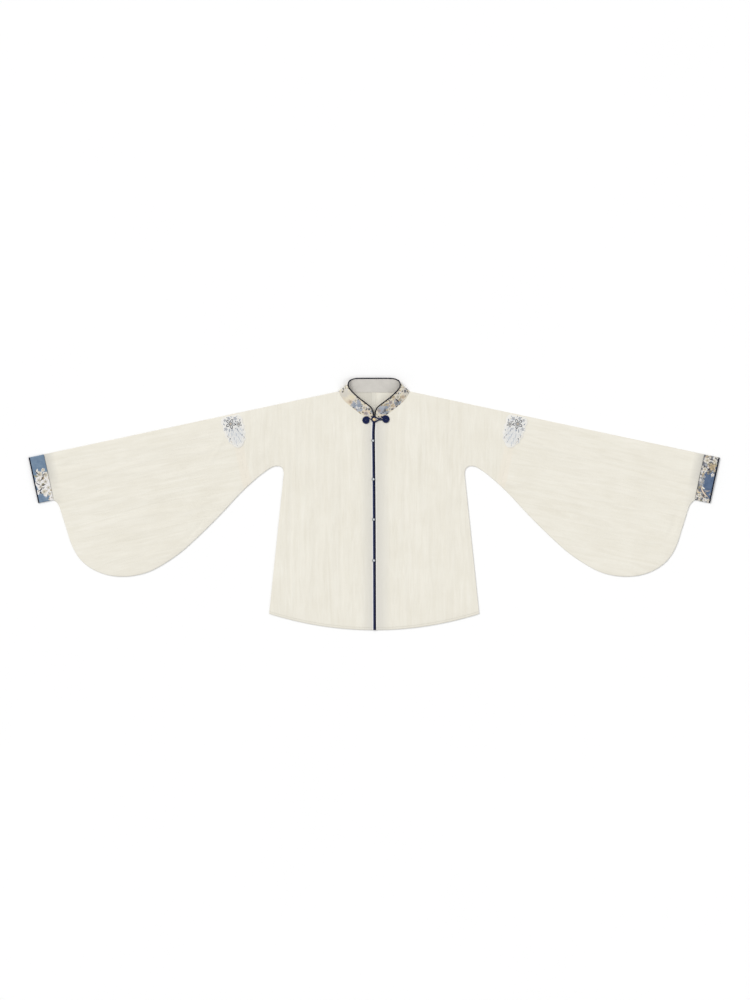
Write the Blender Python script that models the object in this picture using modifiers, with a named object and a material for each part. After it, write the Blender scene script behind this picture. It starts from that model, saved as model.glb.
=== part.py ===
"""Stand-collar jacket with wide curved sleeves, laid flat on its back.

The jacket lies front up on the plane z = 0 with its collar towards +Y. Left and
right are the wearer's, so the wearer's left half is at +X (side 1) and the right
half at -X (side -1). Sizes and tables are in millimetres, and `metres` is the one
place where they become metres. Each piece that a maker cuts and sews is a solid of
its own, SEAM_GAP from its neighbours.
"""

import math

import bmesh
import bpy
from mathutils import Vector
from mathutils.bvhtree import BVHTree
from mathutils.geometry import interpolate_bezier, intersect_point_line

COLLECTION_NAME = "laid_jacket"
SIDES = {"left": 1, "right": -1}
MILLIMETRE = 0.001

# Cloth thicknesses and the gap that is left at every seam
CLOTH_WALL = 1.2
CUFF_WALL = 1.4
COLLAR_WALL = 1.4
PATCH_WALL = 1.0
SEAM_GAP = 0.3

# Cut of the body, as distances from the centre line and heights along Y
NECK_HALF = 92.2
CHEST_LEVEL = 78.0
HALF_CHEST = 235.0
HALF_HEM = 273.0
HEM_CENTRE = -327.9
HEM_RISE = 42.2

# The shoulder and sleeve fold is one straight line, which falls from the neck to the cuff
SHOULDER_PEAK = 312.2
SHOULDER_SLOPE = math.radians(12.06)
SLEEVE_SEAM = 377.4
SEAM_DEPTH = 191.0
CUFF_SEAM = 878.2
CUFF_DEPTH = 121.0
CUFF_WIDTH = 36.8
CUFF_BINDING_WIDTH = 3.3
CUFF_BINDING_WALL = 1.8

# Heights of the upper layer's top face, at the garment's edges and away from them
EDGE_TOP = 2.8
SLEEVE_FOLD_RADIUS = 1.6
CUFF_FOLD_RADIUS = 2.2
FOLD_TURNS = (-45.0, 0.0, 45.0)
OPEN_TOP = 3.8
HIGHEST_TOP = 5.8
EDGE_ROLL = 10.0
CUFF_PUFF = 0.8

# Steps of the panels: columns over the shoulder and the sleeve root, rows below and above
# the chest line. Steps of the tubes: over the upper layer and along the lower one.
FRONT_COLUMNS = (9, 8)
FRONT_ROWS = (8, 6)
BACK_COLUMNS = (4, 7)
BACK_ROWS = (3, 3)
SLEEVE_STEPS = (11, 5)
CUFF_STEPS = (7, 4)
CUFF_RINGS = 4

# Bound front edges: two strips side by side, which start under the collar
BINDING_WIDTH = 3.4
BINDING_HEIGHT = 2.2
BINDING_TOP = 222.6
BINDING_STEPS = 18
PANEL_START = 3.9

# Collar band and the piping along its edge
COLLAR_ROWS = 3
COLLAR_SEAM_TOP = 3.1
COLLAR_SEAM_GAP = 0.35
COLLAR_END_RISE = 1.2
PIPING_RADIUS = 1.5
PIPING_GAP = 0.45
PIPING_RESOLUTION = 2

# Frog fastening
FROG_CORD_RADIUS = 1.35
FROG_CORD_RESOLUTION = 1
COIL_RADIUS = 8.4
COIL_PITCH = 3.1
COIL_STEPS_PER_TURN = 14
BEAD_RADIUS = 4.5
BEAD_HEIGHT = 7.0
BEAD_RINGS = 6
BEAD_PLACE = (0.0, 219.4)

# Buttons
BUTTON_RADIUS = 4.2
BUTTON_HEIGHT = 3.0
BUTTON_LEVELS = (164.3, 64.2, -40.6, -147.2)
BUTTON_OFFSET = -1.4

# Columns: x, y along the front neckline, from the bound edge to the neck point
FRONT_NECK = (
    (3.9, 222.6),
    (12.0, 224.0),
    (25.0, 228.0),
    (38.0, 235.5),
    (56.0, 250.0),
    (74.0, 264.6),
    (84.5, 277.0),
    (92.2, 292.5),
)

# Columns: x, y along the back neckline, from the centre seam to the neck point
BACK_NECK = ((0.15, 290.4), (60.0, 290.4), (88.5, 290.6), (92.2, 292.5))

# Columns: x, y round the armpit, from the side seam to where the sleeve joins
ARMPIT = (
    (235.0, 78.0),
    (236.6, 88.5),
    (242.0, 96.0),
    (252.0, 98.6),
    (268.0, 94.5),
    (297.0, 74.5),
    (329.16, 46.57),
)

# Columns: place along the sleeve's top fold, x and y of the lower edge. One row a ring.
SLEEVE_RINGS = (
    (392.0, 356.0, 20.0),
    (412.0, 390.0, -17.0),
    (434.0, 427.0, -55.0),
    (460.0, 466.0, -92.7),
    (488.0, 505.0, -127.0),
    (517.0, 544.0, -154.0),
    (547.0, 583.0, -175.0),
    (578.0, 622.0, -186.0),
    (610.0, 661.0, -188.8),
    (643.0, 700.0, -183.0),
    (676.0, 737.0, -166.8),
    (709.0, 766.0, -142.0),
    (742.0, 786.0, -107.5),
    (773.0, 799.5, -66.0),
    (802.0, 810.0, -33.0),
    (828.0, 817.5, -9.5),
    (852.0, 824.5, 3.0),
)

# Columns: y, x of the centre front, which wanders a little as the jacket lies
OPENING_DRIFT = (
    (-327.9, 1.3),
    (-200.0, 0.9),
    (-60.0, 0.3),
    (60.0, -0.6),
    (185.0, -2.0),
    (222.6, 0.0),
)

# Largest folds of each half. Columns: start x, y, end x, y, height, half width
FOLDS = {
    1: (
        (58.0, 190.0, 40.0, -270.0, 1.3, 27.0),
        (112.0, 250.0, 106.0, -60.0, 1.6, 25.0),
        (128.0, 20.0, 150.0, -300.0, 1.2, 27.0),
        (182.0, 225.0, 190.0, -190.0, 1.7, 28.0),
        (236.0, 20.0, 256.0, -270.0, 1.0, 20.0),
        (285.0, 230.0, 300.0, 90.0, 1.0, 30.0),
        (400.0, 190.0, 600.0, 60.0, 1.6, 32.0),
        (430.0, 80.0, 700.0, -110.0, 1.9, 34.0),
        (560.0, 160.0, 800.0, 10.0, 1.7, 30.0),
        (430.0, -10.0, 590.0, -140.0, 1.3, 26.0),
        (690.0, 145.0, 845.0, 60.0, 1.3, 26.0),
        (620.0, 10.0, 770.0, -100.0, 1.5, 28.0),
    ),
    -1: (
        (50.0, 200.0, 52.0, -120.0, 1.4, 26.0),
        (70.0, -60.0, 62.0, -300.0, 1.2, 27.0),
        (116.0, 240.0, 112.0, -260.0, 1.8, 27.0),
        (170.0, 150.0, 184.0, -280.0, 1.4, 28.0),
        (205.0, 250.0, 236.0, -40.0, 1.3, 25.0),
        (300.0, 225.0, 318.0, 90.0, 1.0, 30.0),
        (400.0, 190.0, 700.0, 130.0, 1.7, 28.0),
        (400.0, 60.0, 830.0, -10.0, 1.8, 32.0),
        (520.0, 100.0, 840.0, 80.0, 1.3, 26.0),
        (450.0, -30.0, 790.0, -80.0, 1.7, 30.0),
        (520.0, -110.0, 750.0, -140.0, 1.4, 26.0),
    ),
}

# Columns: collar seam x, y, z and collar edge x, y, z, from the centre back round the side
COLLAR_BACK = (
    (0.0, 291.0, 0.7, 0.0, 324.5, 5.0),
    (30.0, 291.0, 0.7, 26.0, 324.5, 5.0),
    (58.0, 291.0, 0.7, 49.0, 323.8, 6.0),
    (77.0, 291.3, 0.7, 61.0, 320.0, 8.6),
    (89.0, 292.2, 0.8, 66.4, 315.8, 11.4),
    (90.2, 293.1, 1.4, 68.4, 312.2, 13.7),
    (90.2, 293.1, 2.4, 68.9, 308.4, 15.6),
    (89.2, 292.3, 3.1, 68.2, 304.4, 16.8),
)

# Columns: collar edge x, y, z, from the side to the rounded corner at the centre front
COLLAR_FRONT_RIM = (
    (66.0, 299.0, 17.5),
    (57.0, 288.6, 18.0),
    (41.4, 274.4, 17.5),
    (22.8, 260.2, 15.0),
    (10.4, 250.4, 11.5),
    (5.6, 241.5, 8.0),
    (4.2, 234.0, 5.6),
)

# Columns: piping x, y, z down the collar's front edge to the neckline
PIPING_END = ((2.4, 229.5, 4.5), (2.4, 225.0, 3.6))

# Frog cords from the coil's outer turn. Columns: x, y
FROG_RUNS = {
    "left": (
        (24.2, 226.6),
        (17.6, 222.4),
        (10.4, 222.0),
        (5.2, 224.6),
        (0.0, 225.9),
        (-4.6, 224.0),
        (-6.5, 219.4),
        (-4.6, 214.8),
        (0.0, 212.9),
        (5.2, 214.2),
        (10.4, 217.6),
        (18.4, 218.4),
    ),
    "right": ((-13.6, 223.6), (-11.2, 221.2), (-8.7, 219.8)),
}

# Frog coils. Columns: centre x, y, turns, angle where the cord leaves, way round
FROG_COILS = {
    "left": (29.9, 219.7, 2.05, 128.0, 1),
    "right": (-20.8, 216.6, 2.05, 44.0, -1),
}

# Sewn patch over the sleeve seam. Columns: depth below the fold, half width
PATCH_ROWS = (
    (3.0, 21.0),
    (9.0, 26.0),
    (18.0, 29.0),
    (27.0, 26.5),
    (36.0, 29.0),
    (45.0, 26.0),
    (54.0, 27.5),
    (62.0, 23.0),
    (70.0, 23.0),
    (77.0, 16.0),
    (84.0, 12.0),
    (89.0, 4.0),
)
PATCH_LEAN = 6.0
PATCH_COLUMNS = 6

# Colours as seen, red, green and blue from 0 to 255, then roughness and metal
CREAM_CLOTH = ((236, 232, 220), 0.85, 0.0)
PRINTED_CUFF = ((112, 136, 166), 0.75, 0.0)
PRINTED_COLLAR = ((214, 204, 186), 0.75, 0.0)
NAVY_CORD = ((20, 28, 66), 0.6, 0.0)
PALE_PATCH = ((214, 219, 224), 0.7, 0.0)
GILT_BEAD = ((206, 178, 120), 0.3, 0.8)
PEARL = ((206, 208, 212), 0.25, 0.0)


def linear_colour(colour):
    """A seen colour, 0 to 255 a channel, as the linear values that a shader takes."""
    channels = []
    for value in colour:
        share = value / 255.0
        if share <= 0.04045:
            channels.append(share / 12.92)
        else:
            channels.append(((share + 0.055) / 1.055) ** 2.4)
    return (*channels, 1.0)


def make_material(name, finish):
    """A Principled material with the given colour, roughness and metal."""
    colour, roughness, metallic = finish
    material = bpy.data.materials.new(name)
    material.use_nodes = True
    shader = material.node_tree.nodes["Principled BSDF"]
    shader.inputs["Base Color"].default_value = linear_colour(colour)
    shader.inputs["Roughness"].default_value = roughness
    shader.inputs["Metallic"].default_value = metallic
    return material


def metres(point):
    """A point in millimetres as a vector in metres."""
    return Vector(point) * MILLIMETRE


def add_piece(collection, name, data, finish):
    """Put a finished mesh or curve in the collection with a material of its own."""
    piece = bpy.data.objects.new(name, data)
    collection.objects.link(piece)
    data.materials.append(make_material(name, finish))
    return piece


def loft(name, sections, closed):
    """A surface through sections of points. A shorter section meets its neighbour from the start."""
    mesh = bpy.data.meshes.new(name)
    build = bmesh.new()
    rows = [[build.verts.new(metres(point)) for point in section] for section in sections]
    for first, second in zip(rows, rows[1:]):
        count = min(len(first), len(second))
        for index in range(count if closed else count - 1):
            following = (index + 1) % count
            build.faces.new((first[index], first[following], second[following], second[index]))
    build.normal_update()
    build.to_mesh(mesh)
    build.free()
    return mesh


def face_up(mesh):
    """Turn an open sheet so that its faces look up."""
    build = bmesh.new()
    build.from_mesh(mesh)
    build.normal_update()
    if sum(face.normal.z * face.calc_area() for face in build.faces) < 0:
        bmesh.ops.reverse_faces(build, faces=build.faces)
    build.to_mesh(mesh)
    build.free()


def face_out(mesh):
    """Turn a tube so that its faces look away from its inside."""
    build = bmesh.new()
    build.from_mesh(mesh)
    bmesh.ops.recalc_face_normals(build, faces=build.faces)
    build.to_mesh(mesh)
    build.free()


def add_wall(piece, thickness, offset=-1.0):
    """Give an open surface its cloth thickness."""
    wall = piece.modifiers.new("wall", "SOLIDIFY")
    wall.thickness = thickness * MILLIMETRE
    wall.offset = offset
    wall.use_rim = True


def path_length(path):
    """Length of a line of points."""
    return sum((after - before).length for before, after in zip(path, path[1:]))


def smooth_path(points, count):
    """Evenly spaced points on a smooth curve through the given ones."""
    points = [Vector(point) for point in points]
    dense = [points[0]]
    for index in range(len(points) - 1):
        start = points[index]
        end = points[index + 1]
        start_pull = (end - points[max(index - 1, 0)]) / 6
        end_pull = (points[min(index + 2, len(points) - 1)] - start) / 6
        stretch = interpolate_bezier(start, start + start_pull, end - end_pull, end, 12)
        dense.extend(stretch[1:])
    return even_path(dense, count)


def even_path(path, count):
    """The same line with its points evenly spaced."""
    step = path_length(path) / (count - 1)
    result = [path[0].copy()]
    walked = 0.0
    for before, after in zip(path, path[1:]):
        stretch = (after - before).length
        while len(result) < count - 1 and walked + stretch >= step * len(result):
            share = (step * len(result) - walked) / stretch
            result.append(before.lerp(after, share))
        walked += stretch
    result.append(path[-1].copy())
    return result


def value_on(table, place):
    """Second column of a table, read between its rows by the first column."""
    for (start, low), (end, high) in zip(table, table[1:]):
        if place <= end:
            share = max(0.0, (place - start) / (end - start))
            return low + (high - low) * share
    return table[-1][1]


def ease(share):
    """A soft step from 0 to 1."""
    share = min(1.0, max(0.0, share))
    return share * share * (3.0 - 2.0 * share)


def edge_shares(length, count, margin=EDGE_ROLL):
    """Shares from 0 to 1 in even steps, with one more step a margin inside each end."""
    inner = margin / length
    steps = [inner + (1.0 - 2.0 * inner) * index / count for index in range(count + 1)]
    return [0.0, *steps, 1.0]


def sleeve_point(along, across):
    """Point at a distance along the shoulder line and a depth square to it."""
    return Vector((
        along * math.cos(SHOULDER_SLOPE) - across * math.sin(SHOULDER_SLOPE),
        SHOULDER_PEAK - along * math.sin(SHOULDER_SLOPE) - across * math.cos(SHOULDER_SLOPE),
    ))


def shoulder_y(x):
    """Height of the shoulder line at a distance from the centre."""
    return SHOULDER_PEAK - x * math.tan(SHOULDER_SLOPE)


def hem_y(x):
    """Height of the curved hem at a distance from the centre."""
    return HEM_CENTRE + HEM_RISE * (x / HALF_HEM) ** 2


def garment_edges():
    """Lines of the outline of one half, where the upper layer comes down."""
    hem = [Vector((x, hem_y(x))) for x in range(0, int(HALF_HEM), 30)]
    hem.append(Vector((HALF_HEM, hem_y(HALF_HEM))))
    lower_edge = [Vector(point) for point in ARMPIT]
    lower_edge += [Vector(row[1:]) for row in SLEEVE_RINGS]
    lower_edge.append(sleeve_point(CUFF_SEAM, CUFF_DEPTH))
    return (
        hem,
        lower_edge,
        [hem[-1], Vector((HALF_CHEST, CHEST_LEVEL))],
        [Vector((NECK_HALF, shoulder_y(NECK_HALF))), sleeve_point(CUFF_SEAM, 0.0)],
        [Vector(point) for point in FRONT_NECK],
        [Vector((PANEL_START, BINDING_TOP)), Vector((PANEL_START, HEM_CENTRE))],
    )


def edge_distance(edges, point):
    """Distance from a point to the nearest edge line."""
    nearest = math.inf
    for line in edges:
        for start, end in zip(line, line[1:]):
            foot, share = intersect_point_line(point, start, end)
            share = min(1.0, max(0.0, share))
            nearest = min(nearest, (point - start.lerp(end, share)).length)
    return nearest


def fold_height(side, point):
    """Height of the large folds of one half at a point."""
    height = 0.0
    for start_x, start_y, end_x, end_y, crest, half_width in FOLDS[side]:
        start = Vector((start_x, start_y))
        along = Vector((end_x, end_y)) - start
        offset = point - start
        share = offset.dot(along) / along.length_squared
        across = abs(offset.cross(along)) / along.length
        if 0.0 < share < 1.0 and across < half_width:
            round_over = 0.5 + 0.5 * math.cos(math.pi * across / half_width)
            height += crest * round_over * math.sqrt(math.sin(math.pi * share))
    return height


def top_height(side, edges, point, edge_top):
    """Height of the upper layer's top face at a point of the right-hand plan."""
    rise = OPEN_TOP - EDGE_TOP + fold_height(side, point)
    rise = min(rise, HIGHEST_TOP - edge_top)
    return edge_top + rise * ease(edge_distance(edges, point) / EDGE_ROLL)


def opening_drift(y, share):
    """Sideways wander of the centre front, which dies out across the panel."""
    return value_on(OPENING_DRIFT, y) * (1.0 - share) ** 2


def panel_columns(start_x, neck_path, column_counts, row_counts):
    """Plan of half a body panel and its sleeve root, as columns from the top down."""
    shoulder_columns, root_columns = column_counts
    lower_rows, upper_rows = row_counts
    chest_places = [point.x for point in neck_path]
    stretch = HALF_CHEST - EDGE_ROLL - NECK_HALF
    for index in range(1, shoulder_columns + 1):
        chest_places.append(NECK_HALF + stretch * index / shoulder_columns)
    chest_places.append(HALF_CHEST)
    neck_tops = [point.y for point in neck_path]
    columns = []
    for index, chest_x in enumerate(chest_places):
        share = (chest_x - start_x) / (HALF_CHEST - start_x)
        top_y = neck_tops[index] if index < len(neck_tops) else shoulder_y(chest_x)
        hem_x = start_x + share * (HALF_HEM - start_x)
        top = Vector((chest_x, top_y))
        chest = Vector((chest_x, CHEST_LEVEL))
        hem = Vector((hem_x, hem_y(hem_x)))
        upper = [top.lerp(chest, part) for part in edge_shares((top - chest).length, upper_rows)]
        lower = [chest.lerp(hem, part) for part in edge_shares((chest - hem).length, lower_rows)]
        columns.append(upper + lower[1:])
    root_bottoms = smooth_path(ARMPIT, root_columns + 1)[1:]
    seam_top = sleeve_point(SLEEVE_SEAM, 0.0)
    for index, bottom in enumerate(root_bottoms):
        share = (index + 1) / root_columns
        top_x = HALF_CHEST + share * (seam_top.x - HALF_CHEST)
        top = Vector((top_x, shoulder_y(top_x)))
        length = (top - bottom).length
        columns.append([top.lerp(bottom, part) for part in edge_shares(length, upper_rows)])
    return columns


def build_front(collection, name, side, edges, neck_path):
    """Front half with its sleeve root, over the back and lifted by its folds."""
    plan = panel_columns(PANEL_START, neck_path, FRONT_COLUMNS, FRONT_ROWS)
    sections = []
    for column in plan:
        share = (column[0].x - PANEL_START) / (HALF_CHEST - PANEL_START)
        section = []
        for point in column:
            shift = side * opening_drift(point.y, min(share, 1.0))
            height = top_height(side, edges, point, EDGE_TOP)
            section.append((side * (point.x + shift), point.y, height))
        sections.append(section)
    mesh = loft(name, sections, closed=False)
    face_up(mesh)
    piece = add_piece(collection, name, mesh, CREAM_CLOTH)
    add_wall(piece, CLOTH_WALL)
    return piece


def build_back(collection, name, side):
    """Back half with its sleeve root, flat on the surface, with its inside up."""
    neck_path = [Vector(point) for point in BACK_NECK]
    plan = panel_columns(neck_path[0].x, neck_path, BACK_COLUMNS, BACK_ROWS)
    sections = [[(side * point.x, point.y, CLOTH_WALL) for point in column] for column in plan]
    mesh = loft(name, sections, closed=False)
    face_up(mesh)
    piece = add_piece(collection, name, mesh, CREAM_CLOTH)
    add_wall(piece, CLOTH_WALL)
    return piece


def fold_arc(edge, inward, radius):
    """Half a turn of cloth at a folded edge, from the lower layer to the upper one."""
    arc = []
    for turn in FOLD_TURNS:
        reach = radius * (1.0 - math.cos(math.radians(turn)))
        rise = radius * (1.0 + math.sin(math.radians(turn)))
        place = edge + inward * reach
        arc.append((place.x, place.y, rise))
    return arc


def flat_ring(upper_edge, lower_edge, inwards, radius, height, counts):
    """One closed section of a flattened tube. `height` gives the top face at a point."""
    upper_inward, lower_inward = inwards
    over_count, under_count = counts
    start = upper_edge + upper_inward * radius
    end = lower_edge + lower_inward * radius
    length = (end - start).length
    over = [start.lerp(end, share) for share in edge_shares(length, over_count)]
    under = [end.lerp(start, index / under_count) for index in range(under_count + 1)]
    ring = [(point.x, point.y, height(point)) for point in over]
    ring += reversed(fold_arc(lower_edge, lower_inward, radius))
    ring += [(point.x, point.y, 0.0) for point in under]
    ring += fold_arc(upper_edge, upper_inward, radius)
    return ring


def sleeve_edges():
    """Edge points of the sleeve's rings, from the seam to the cuff: fold side, then lower side."""
    seam_start = SLEEVE_SEAM + SEAM_GAP
    uppers = [sleeve_point(seam_start, 0.0)]
    lowers = [sleeve_point(seam_start, SEAM_DEPTH)]
    for along, x, y in SLEEVE_RINGS:
        uppers.append(sleeve_point(along, 0.0))
        lowers.append(Vector((x, y)))
    uppers.append(sleeve_point(CUFF_SEAM, 0.0))
    lowers.append(sleeve_point(CUFF_SEAM, CUFF_DEPTH))
    return uppers, lowers


def build_sleeve(collection, name, side, edges):
    """Outer sleeve: a tube folded along its top, which fans out to the curved lower edge."""
    uppers, lowers = sleeve_edges()
    down = (sleeve_point(0.0, 1.0) - sleeve_point(0.0, 0.0)).normalized()
    sections = []
    last = len(uppers) - 1
    for index, (upper, lower) in enumerate(zip(uppers, lowers)):
        if index in (0, last):
            lower_inward = -down
        else:
            tangent = lowers[index + 1] - lowers[index - 1]
            lower_inward = Vector((-tangent.y, tangent.x)).normalized()
        ring = flat_ring(
            upper,
            lower,
            (down, lower_inward),
            SLEEVE_FOLD_RADIUS,
            lambda point: top_height(side, edges, point, 2.0 * SLEEVE_FOLD_RADIUS),
            SLEEVE_STEPS,
        )
        sections.append([(side * x, y, z) for x, y, z in ring])
    mesh = loft(name, sections, closed=True)
    face_out(mesh)
    piece = add_piece(collection, name, mesh, CREAM_CLOTH)
    add_wall(piece, CLOTH_WALL)
    return piece


def build_cuff_band(collection, name, side, span, radius, wall, finish):
    """A straight flattened band at the wrist, between two places along the sleeve."""
    down = (sleeve_point(0.0, 1.0) - sleeve_point(0.0, 0.0)).normalized()
    sections = []
    ring_count = CUFF_RINGS if span[1] - span[0] > CUFF_BINDING_WIDTH else 2
    for index in range(ring_count):
        along = span[0] + (span[1] - span[0]) * index / (ring_count - 1)
        upper = sleeve_point(along, 0.0)
        lower = sleeve_point(along, CUFF_DEPTH)

        def height(point):
            share = (point - upper).length / CUFF_DEPTH
            return 2.0 * radius + CUFF_PUFF * math.sin(math.pi * share) ** 2

        ring = flat_ring(upper, lower, (down, -down), radius, height, CUFF_STEPS)
        sections.append([(side * x, y, z) for x, y, z in ring])
    mesh = loft(name, sections, closed=True)
    face_out(mesh)
    piece = add_piece(collection, name, mesh, finish)
    add_wall(piece, wall)
    return piece


def collar_half(neck_path):
    """Seam and edge points of the collar band, from the centre back round to the front."""
    sections = [(Vector(row[:3]), Vector(row[3:])) for row in COLLAR_BACK]
    seams = []
    for index in range(len(neck_path) - 2, -1, -1):
        before = neck_path[min(index + 1, len(neck_path) - 1)]
        after = neck_path[max(index - 1, 0)]
        tangent = (after - before).normalized()
        inward = Vector((tangent.y, -tangent.x))
        seam = neck_path[index] + inward * COLLAR_SEAM_GAP
        seams.append(Vector((seam.x, seam.y, COLLAR_SEAM_TOP)))
    seams[-1] = Vector((COLLAR_FRONT_RIM[-1][0], BINDING_TOP + COLLAR_END_RISE, COLLAR_SEAM_TOP))
    rim_start = sections[-1][1]
    rims = smooth_path([rim_start, *COLLAR_FRONT_RIM], len(seams) + 1)[1:]
    sections += list(zip(seams, rims))
    return sections


def mirrored(points):
    """A half path from the centre outwards, made whole from the other side's end."""
    other = [Vector((-point.x, point.y, point.z)) for point in reversed(points[1:])]
    return other + list(points)


def build_collar(collection, name, half):
    """Stiffened band, a little open ring, which folds over at both sides of the neck."""
    rows = []
    for step in range(COLLAR_ROWS + 1):
        share = step / COLLAR_ROWS
        rows.append(mirrored([seam.lerp(rim, share) for seam, rim in half]))
    mesh = loft(name, rows, closed=False)
    piece = add_piece(collection, name, mesh, PRINTED_COLLAR)
    add_wall(piece, COLLAR_WALL, offset=0.0)
    return piece


def tube(name, path, radius, resolution):
    """A round cord along a path, with closed ends."""
    curve = bpy.data.curves.new(name, "CURVE")
    curve.dimensions = "3D"
    curve.bevel_depth = radius * MILLIMETRE
    curve.bevel_resolution = resolution
    curve.use_fill_caps = True
    spline = curve.splines.new("POLY")
    spline.points.add(len(path) - 1)
    for control, point in zip(spline.points, path):
        control.co = (*metres(point), 1.0)
    return curve


def piping_half(half):
    """Path of the piping beyond the collar's edge, from the centre back to the front."""
    rims = [rim for seam, rim in half]
    distance = PIPING_RADIUS + PIPING_GAP
    path = []
    face = Vector((0.0, 0.0, 1.0))
    for index, (seam, rim) in enumerate(half):
        tangent = rims[min(index + 1, len(rims) - 1)] - rims[max(index - 1, 0)]
        if index == 0:
            tangent = Vector((1.0, 0.0, 0.0))
        if index < len(half) - 3:
            face = tangent.cross(rim - seam).normalized()
        outward = face.cross(tangent).normalized()
        path.append(rim + outward * distance)
    return path + [Vector(point) for point in PIPING_END]


def build_collar_piping(collection, name, half):
    """Round piping along the whole edge of the collar."""
    path = mirrored(piping_half(half))
    curve = tube(name, path, PIPING_RADIUS, PIPING_RESOLUTION)
    return add_piece(collection, name, curve, NAVY_CORD)


def build_front_binding(collection, name, side):
    """Bound edge of one front: a rounded strip from the collar to the hem."""
    half_width = BINDING_WIDTH / 2
    half_height = BINDING_HEIGHT / 2
    corner = half_height * 0.6
    outline = (
        (-half_width, -half_height + corner),
        (-half_width + corner, -half_height),
        (half_width - corner, -half_height),
        (half_width, -half_height + corner),
        (half_width, half_height - corner),
        (half_width - corner, half_height),
        (-half_width + corner, half_height),
        (-half_width, half_height - corner),
    )
    middle_z = CLOTH_WALL + SEAM_GAP + half_height
    sections = []
    for index in range(BINDING_STEPS + 1):
        y = BINDING_TOP + (HEM_CENTRE - BINDING_TOP) * index / BINDING_STEPS
        x = side * (SEAM_GAP / 2 + half_width) + value_on(OPENING_DRIFT, y)
        sections.append([(x + across, y, middle_z + up) for across, up in outline])
    mesh = loft(name, sections, closed=True)
    close_ends(mesh)
    return add_piece(collection, name, mesh, NAVY_CORD)


def close_ends(mesh):
    """Cap the open ends of a loft and turn its faces out."""
    build = bmesh.new()
    build.from_mesh(mesh)
    rim = [edge for edge in build.edges if edge.is_boundary]
    bmesh.ops.holes_fill(build, edges=rim, sides=0)
    bmesh.ops.recalc_face_normals(build, faces=build.faces)
    build.to_mesh(mesh)
    build.free()


class Ground:
    """What a sewn-on piece lies on: the top faces of the pieces under it."""

    def __init__(self, pieces):
        depsgraph = bpy.context.evaluated_depsgraph_get()
        self.trees = [BVHTree.FromObject(piece, depsgraph) for piece in pieces]

    def height(self, x, y):
        """Height of the highest face at a point, in millimetres."""
        highest = 0.0
        above = metres((x, y, 100.0))
        for tree in self.trees:
            hit = tree.ray_cast(above, Vector((0.0, 0.0, -1.0)))[0]
            if hit is not None:
                highest = max(highest, hit.z / MILLIMETRE)
        return highest

    def height_under(self, x, y, reach):
        """Highest face within a reach of a point."""
        heights = [self.height(x, y)]
        for turn in range(0, 360, 45):
            angle = math.radians(turn)
            for part in (0.5, 1.0):
                step = reach * part
                heights.append(self.height(x + step * math.cos(angle), y + step * math.sin(angle)))
        return max(heights)


def build_frog(collection, name, key, ground):
    """One side of the frog fastening: a cord coiled flat, which runs on to the bead."""
    centre_x, centre_y, turns, leave, way = FROG_COILS[key]
    steps = int(turns * COIL_STEPS_PER_TURN)
    plan = []
    for index in range(steps + 1):
        back = (steps - index) / COIL_STEPS_PER_TURN
        angle = math.radians(leave - way * 360.0 * back)
        radius = COIL_RADIUS - COIL_PITCH * back
        plan.append((centre_x + radius * math.cos(angle), centre_y + radius * math.sin(angle)))
    run = [Vector(plan[-1]), *(Vector(point) for point in FROG_RUNS[key])]
    run_count = max(4, int(path_length(run) / (1.3 * FROG_CORD_RADIUS)))
    plan += [tuple(point) for point in smooth_path(run, run_count)[1:]]
    path = []
    for x, y in plan:
        lift = ground.height_under(x, y, FROG_CORD_RADIUS) + SEAM_GAP + FROG_CORD_RADIUS
        path.append(Vector((x, y, lift)))
    curve = tube(name, path, FROG_CORD_RADIUS, FROG_CORD_RESOLUTION)
    return add_piece(collection, name, curve, NAVY_CORD)


def turned(collection, name, profile, place, steps, finish):
    """A turned solid from a profile of radius and height, run from its top down."""
    mesh = bpy.data.meshes.new(name)
    build = bmesh.new()
    points = [build.verts.new(metres((radius, 0.0, height))) for radius, height in profile]
    for first, second in zip(points, points[1:]):
        build.edges.new((first, second))
    build.to_mesh(mesh)
    build.free()
    piece = add_piece(collection, name, mesh, finish)
    piece.location = metres(place)
    screw = piece.modifiers.new("turn", "SCREW")
    screw.steps = steps
    screw.render_steps = steps
    screw.use_merge_vertices = True
    screw.merge_threshold = 0.00005
    return piece


def build_bead(collection, name, ground):
    """Bead of the frog, a flattened ball on the bound edges."""
    x, y = BEAD_PLACE
    profile = []
    for index in range(BEAD_RINGS + 1):
        angle = math.pi * (0.5 - index / BEAD_RINGS)
        radius = BEAD_RADIUS * math.cos(angle) if 0 < index < BEAD_RINGS else 0.0
        profile.append((radius, BEAD_HEIGHT / 2 * (1.0 + math.sin(angle))))
    base = ground.height_under(x, y, BEAD_RADIUS * 0.8) + SEAM_GAP
    return turned(collection, name, profile, (x, y, base), 16, GILT_BEAD)


def build_button(collection, name, level, ground):
    """Small domed pearl button with a rim and a flat back."""
    x = value_on(OPENING_DRIFT, level) + BUTTON_OFFSET
    profile = (
        (0.0, BUTTON_HEIGHT),
        (BUTTON_RADIUS * 0.45, BUTTON_HEIGHT * 0.93),
        (BUTTON_RADIUS * 0.8, BUTTON_HEIGHT * 0.66),
        (BUTTON_RADIUS, BUTTON_HEIGHT * 0.3),
        (BUTTON_RADIUS * 0.94, 0.0),
        (0.0, 0.0),
    )
    base = ground.height_under(x, level, BUTTON_RADIUS) + SEAM_GAP
    return turned(collection, name, profile, (x, level, base), 14, PEARL)


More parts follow.
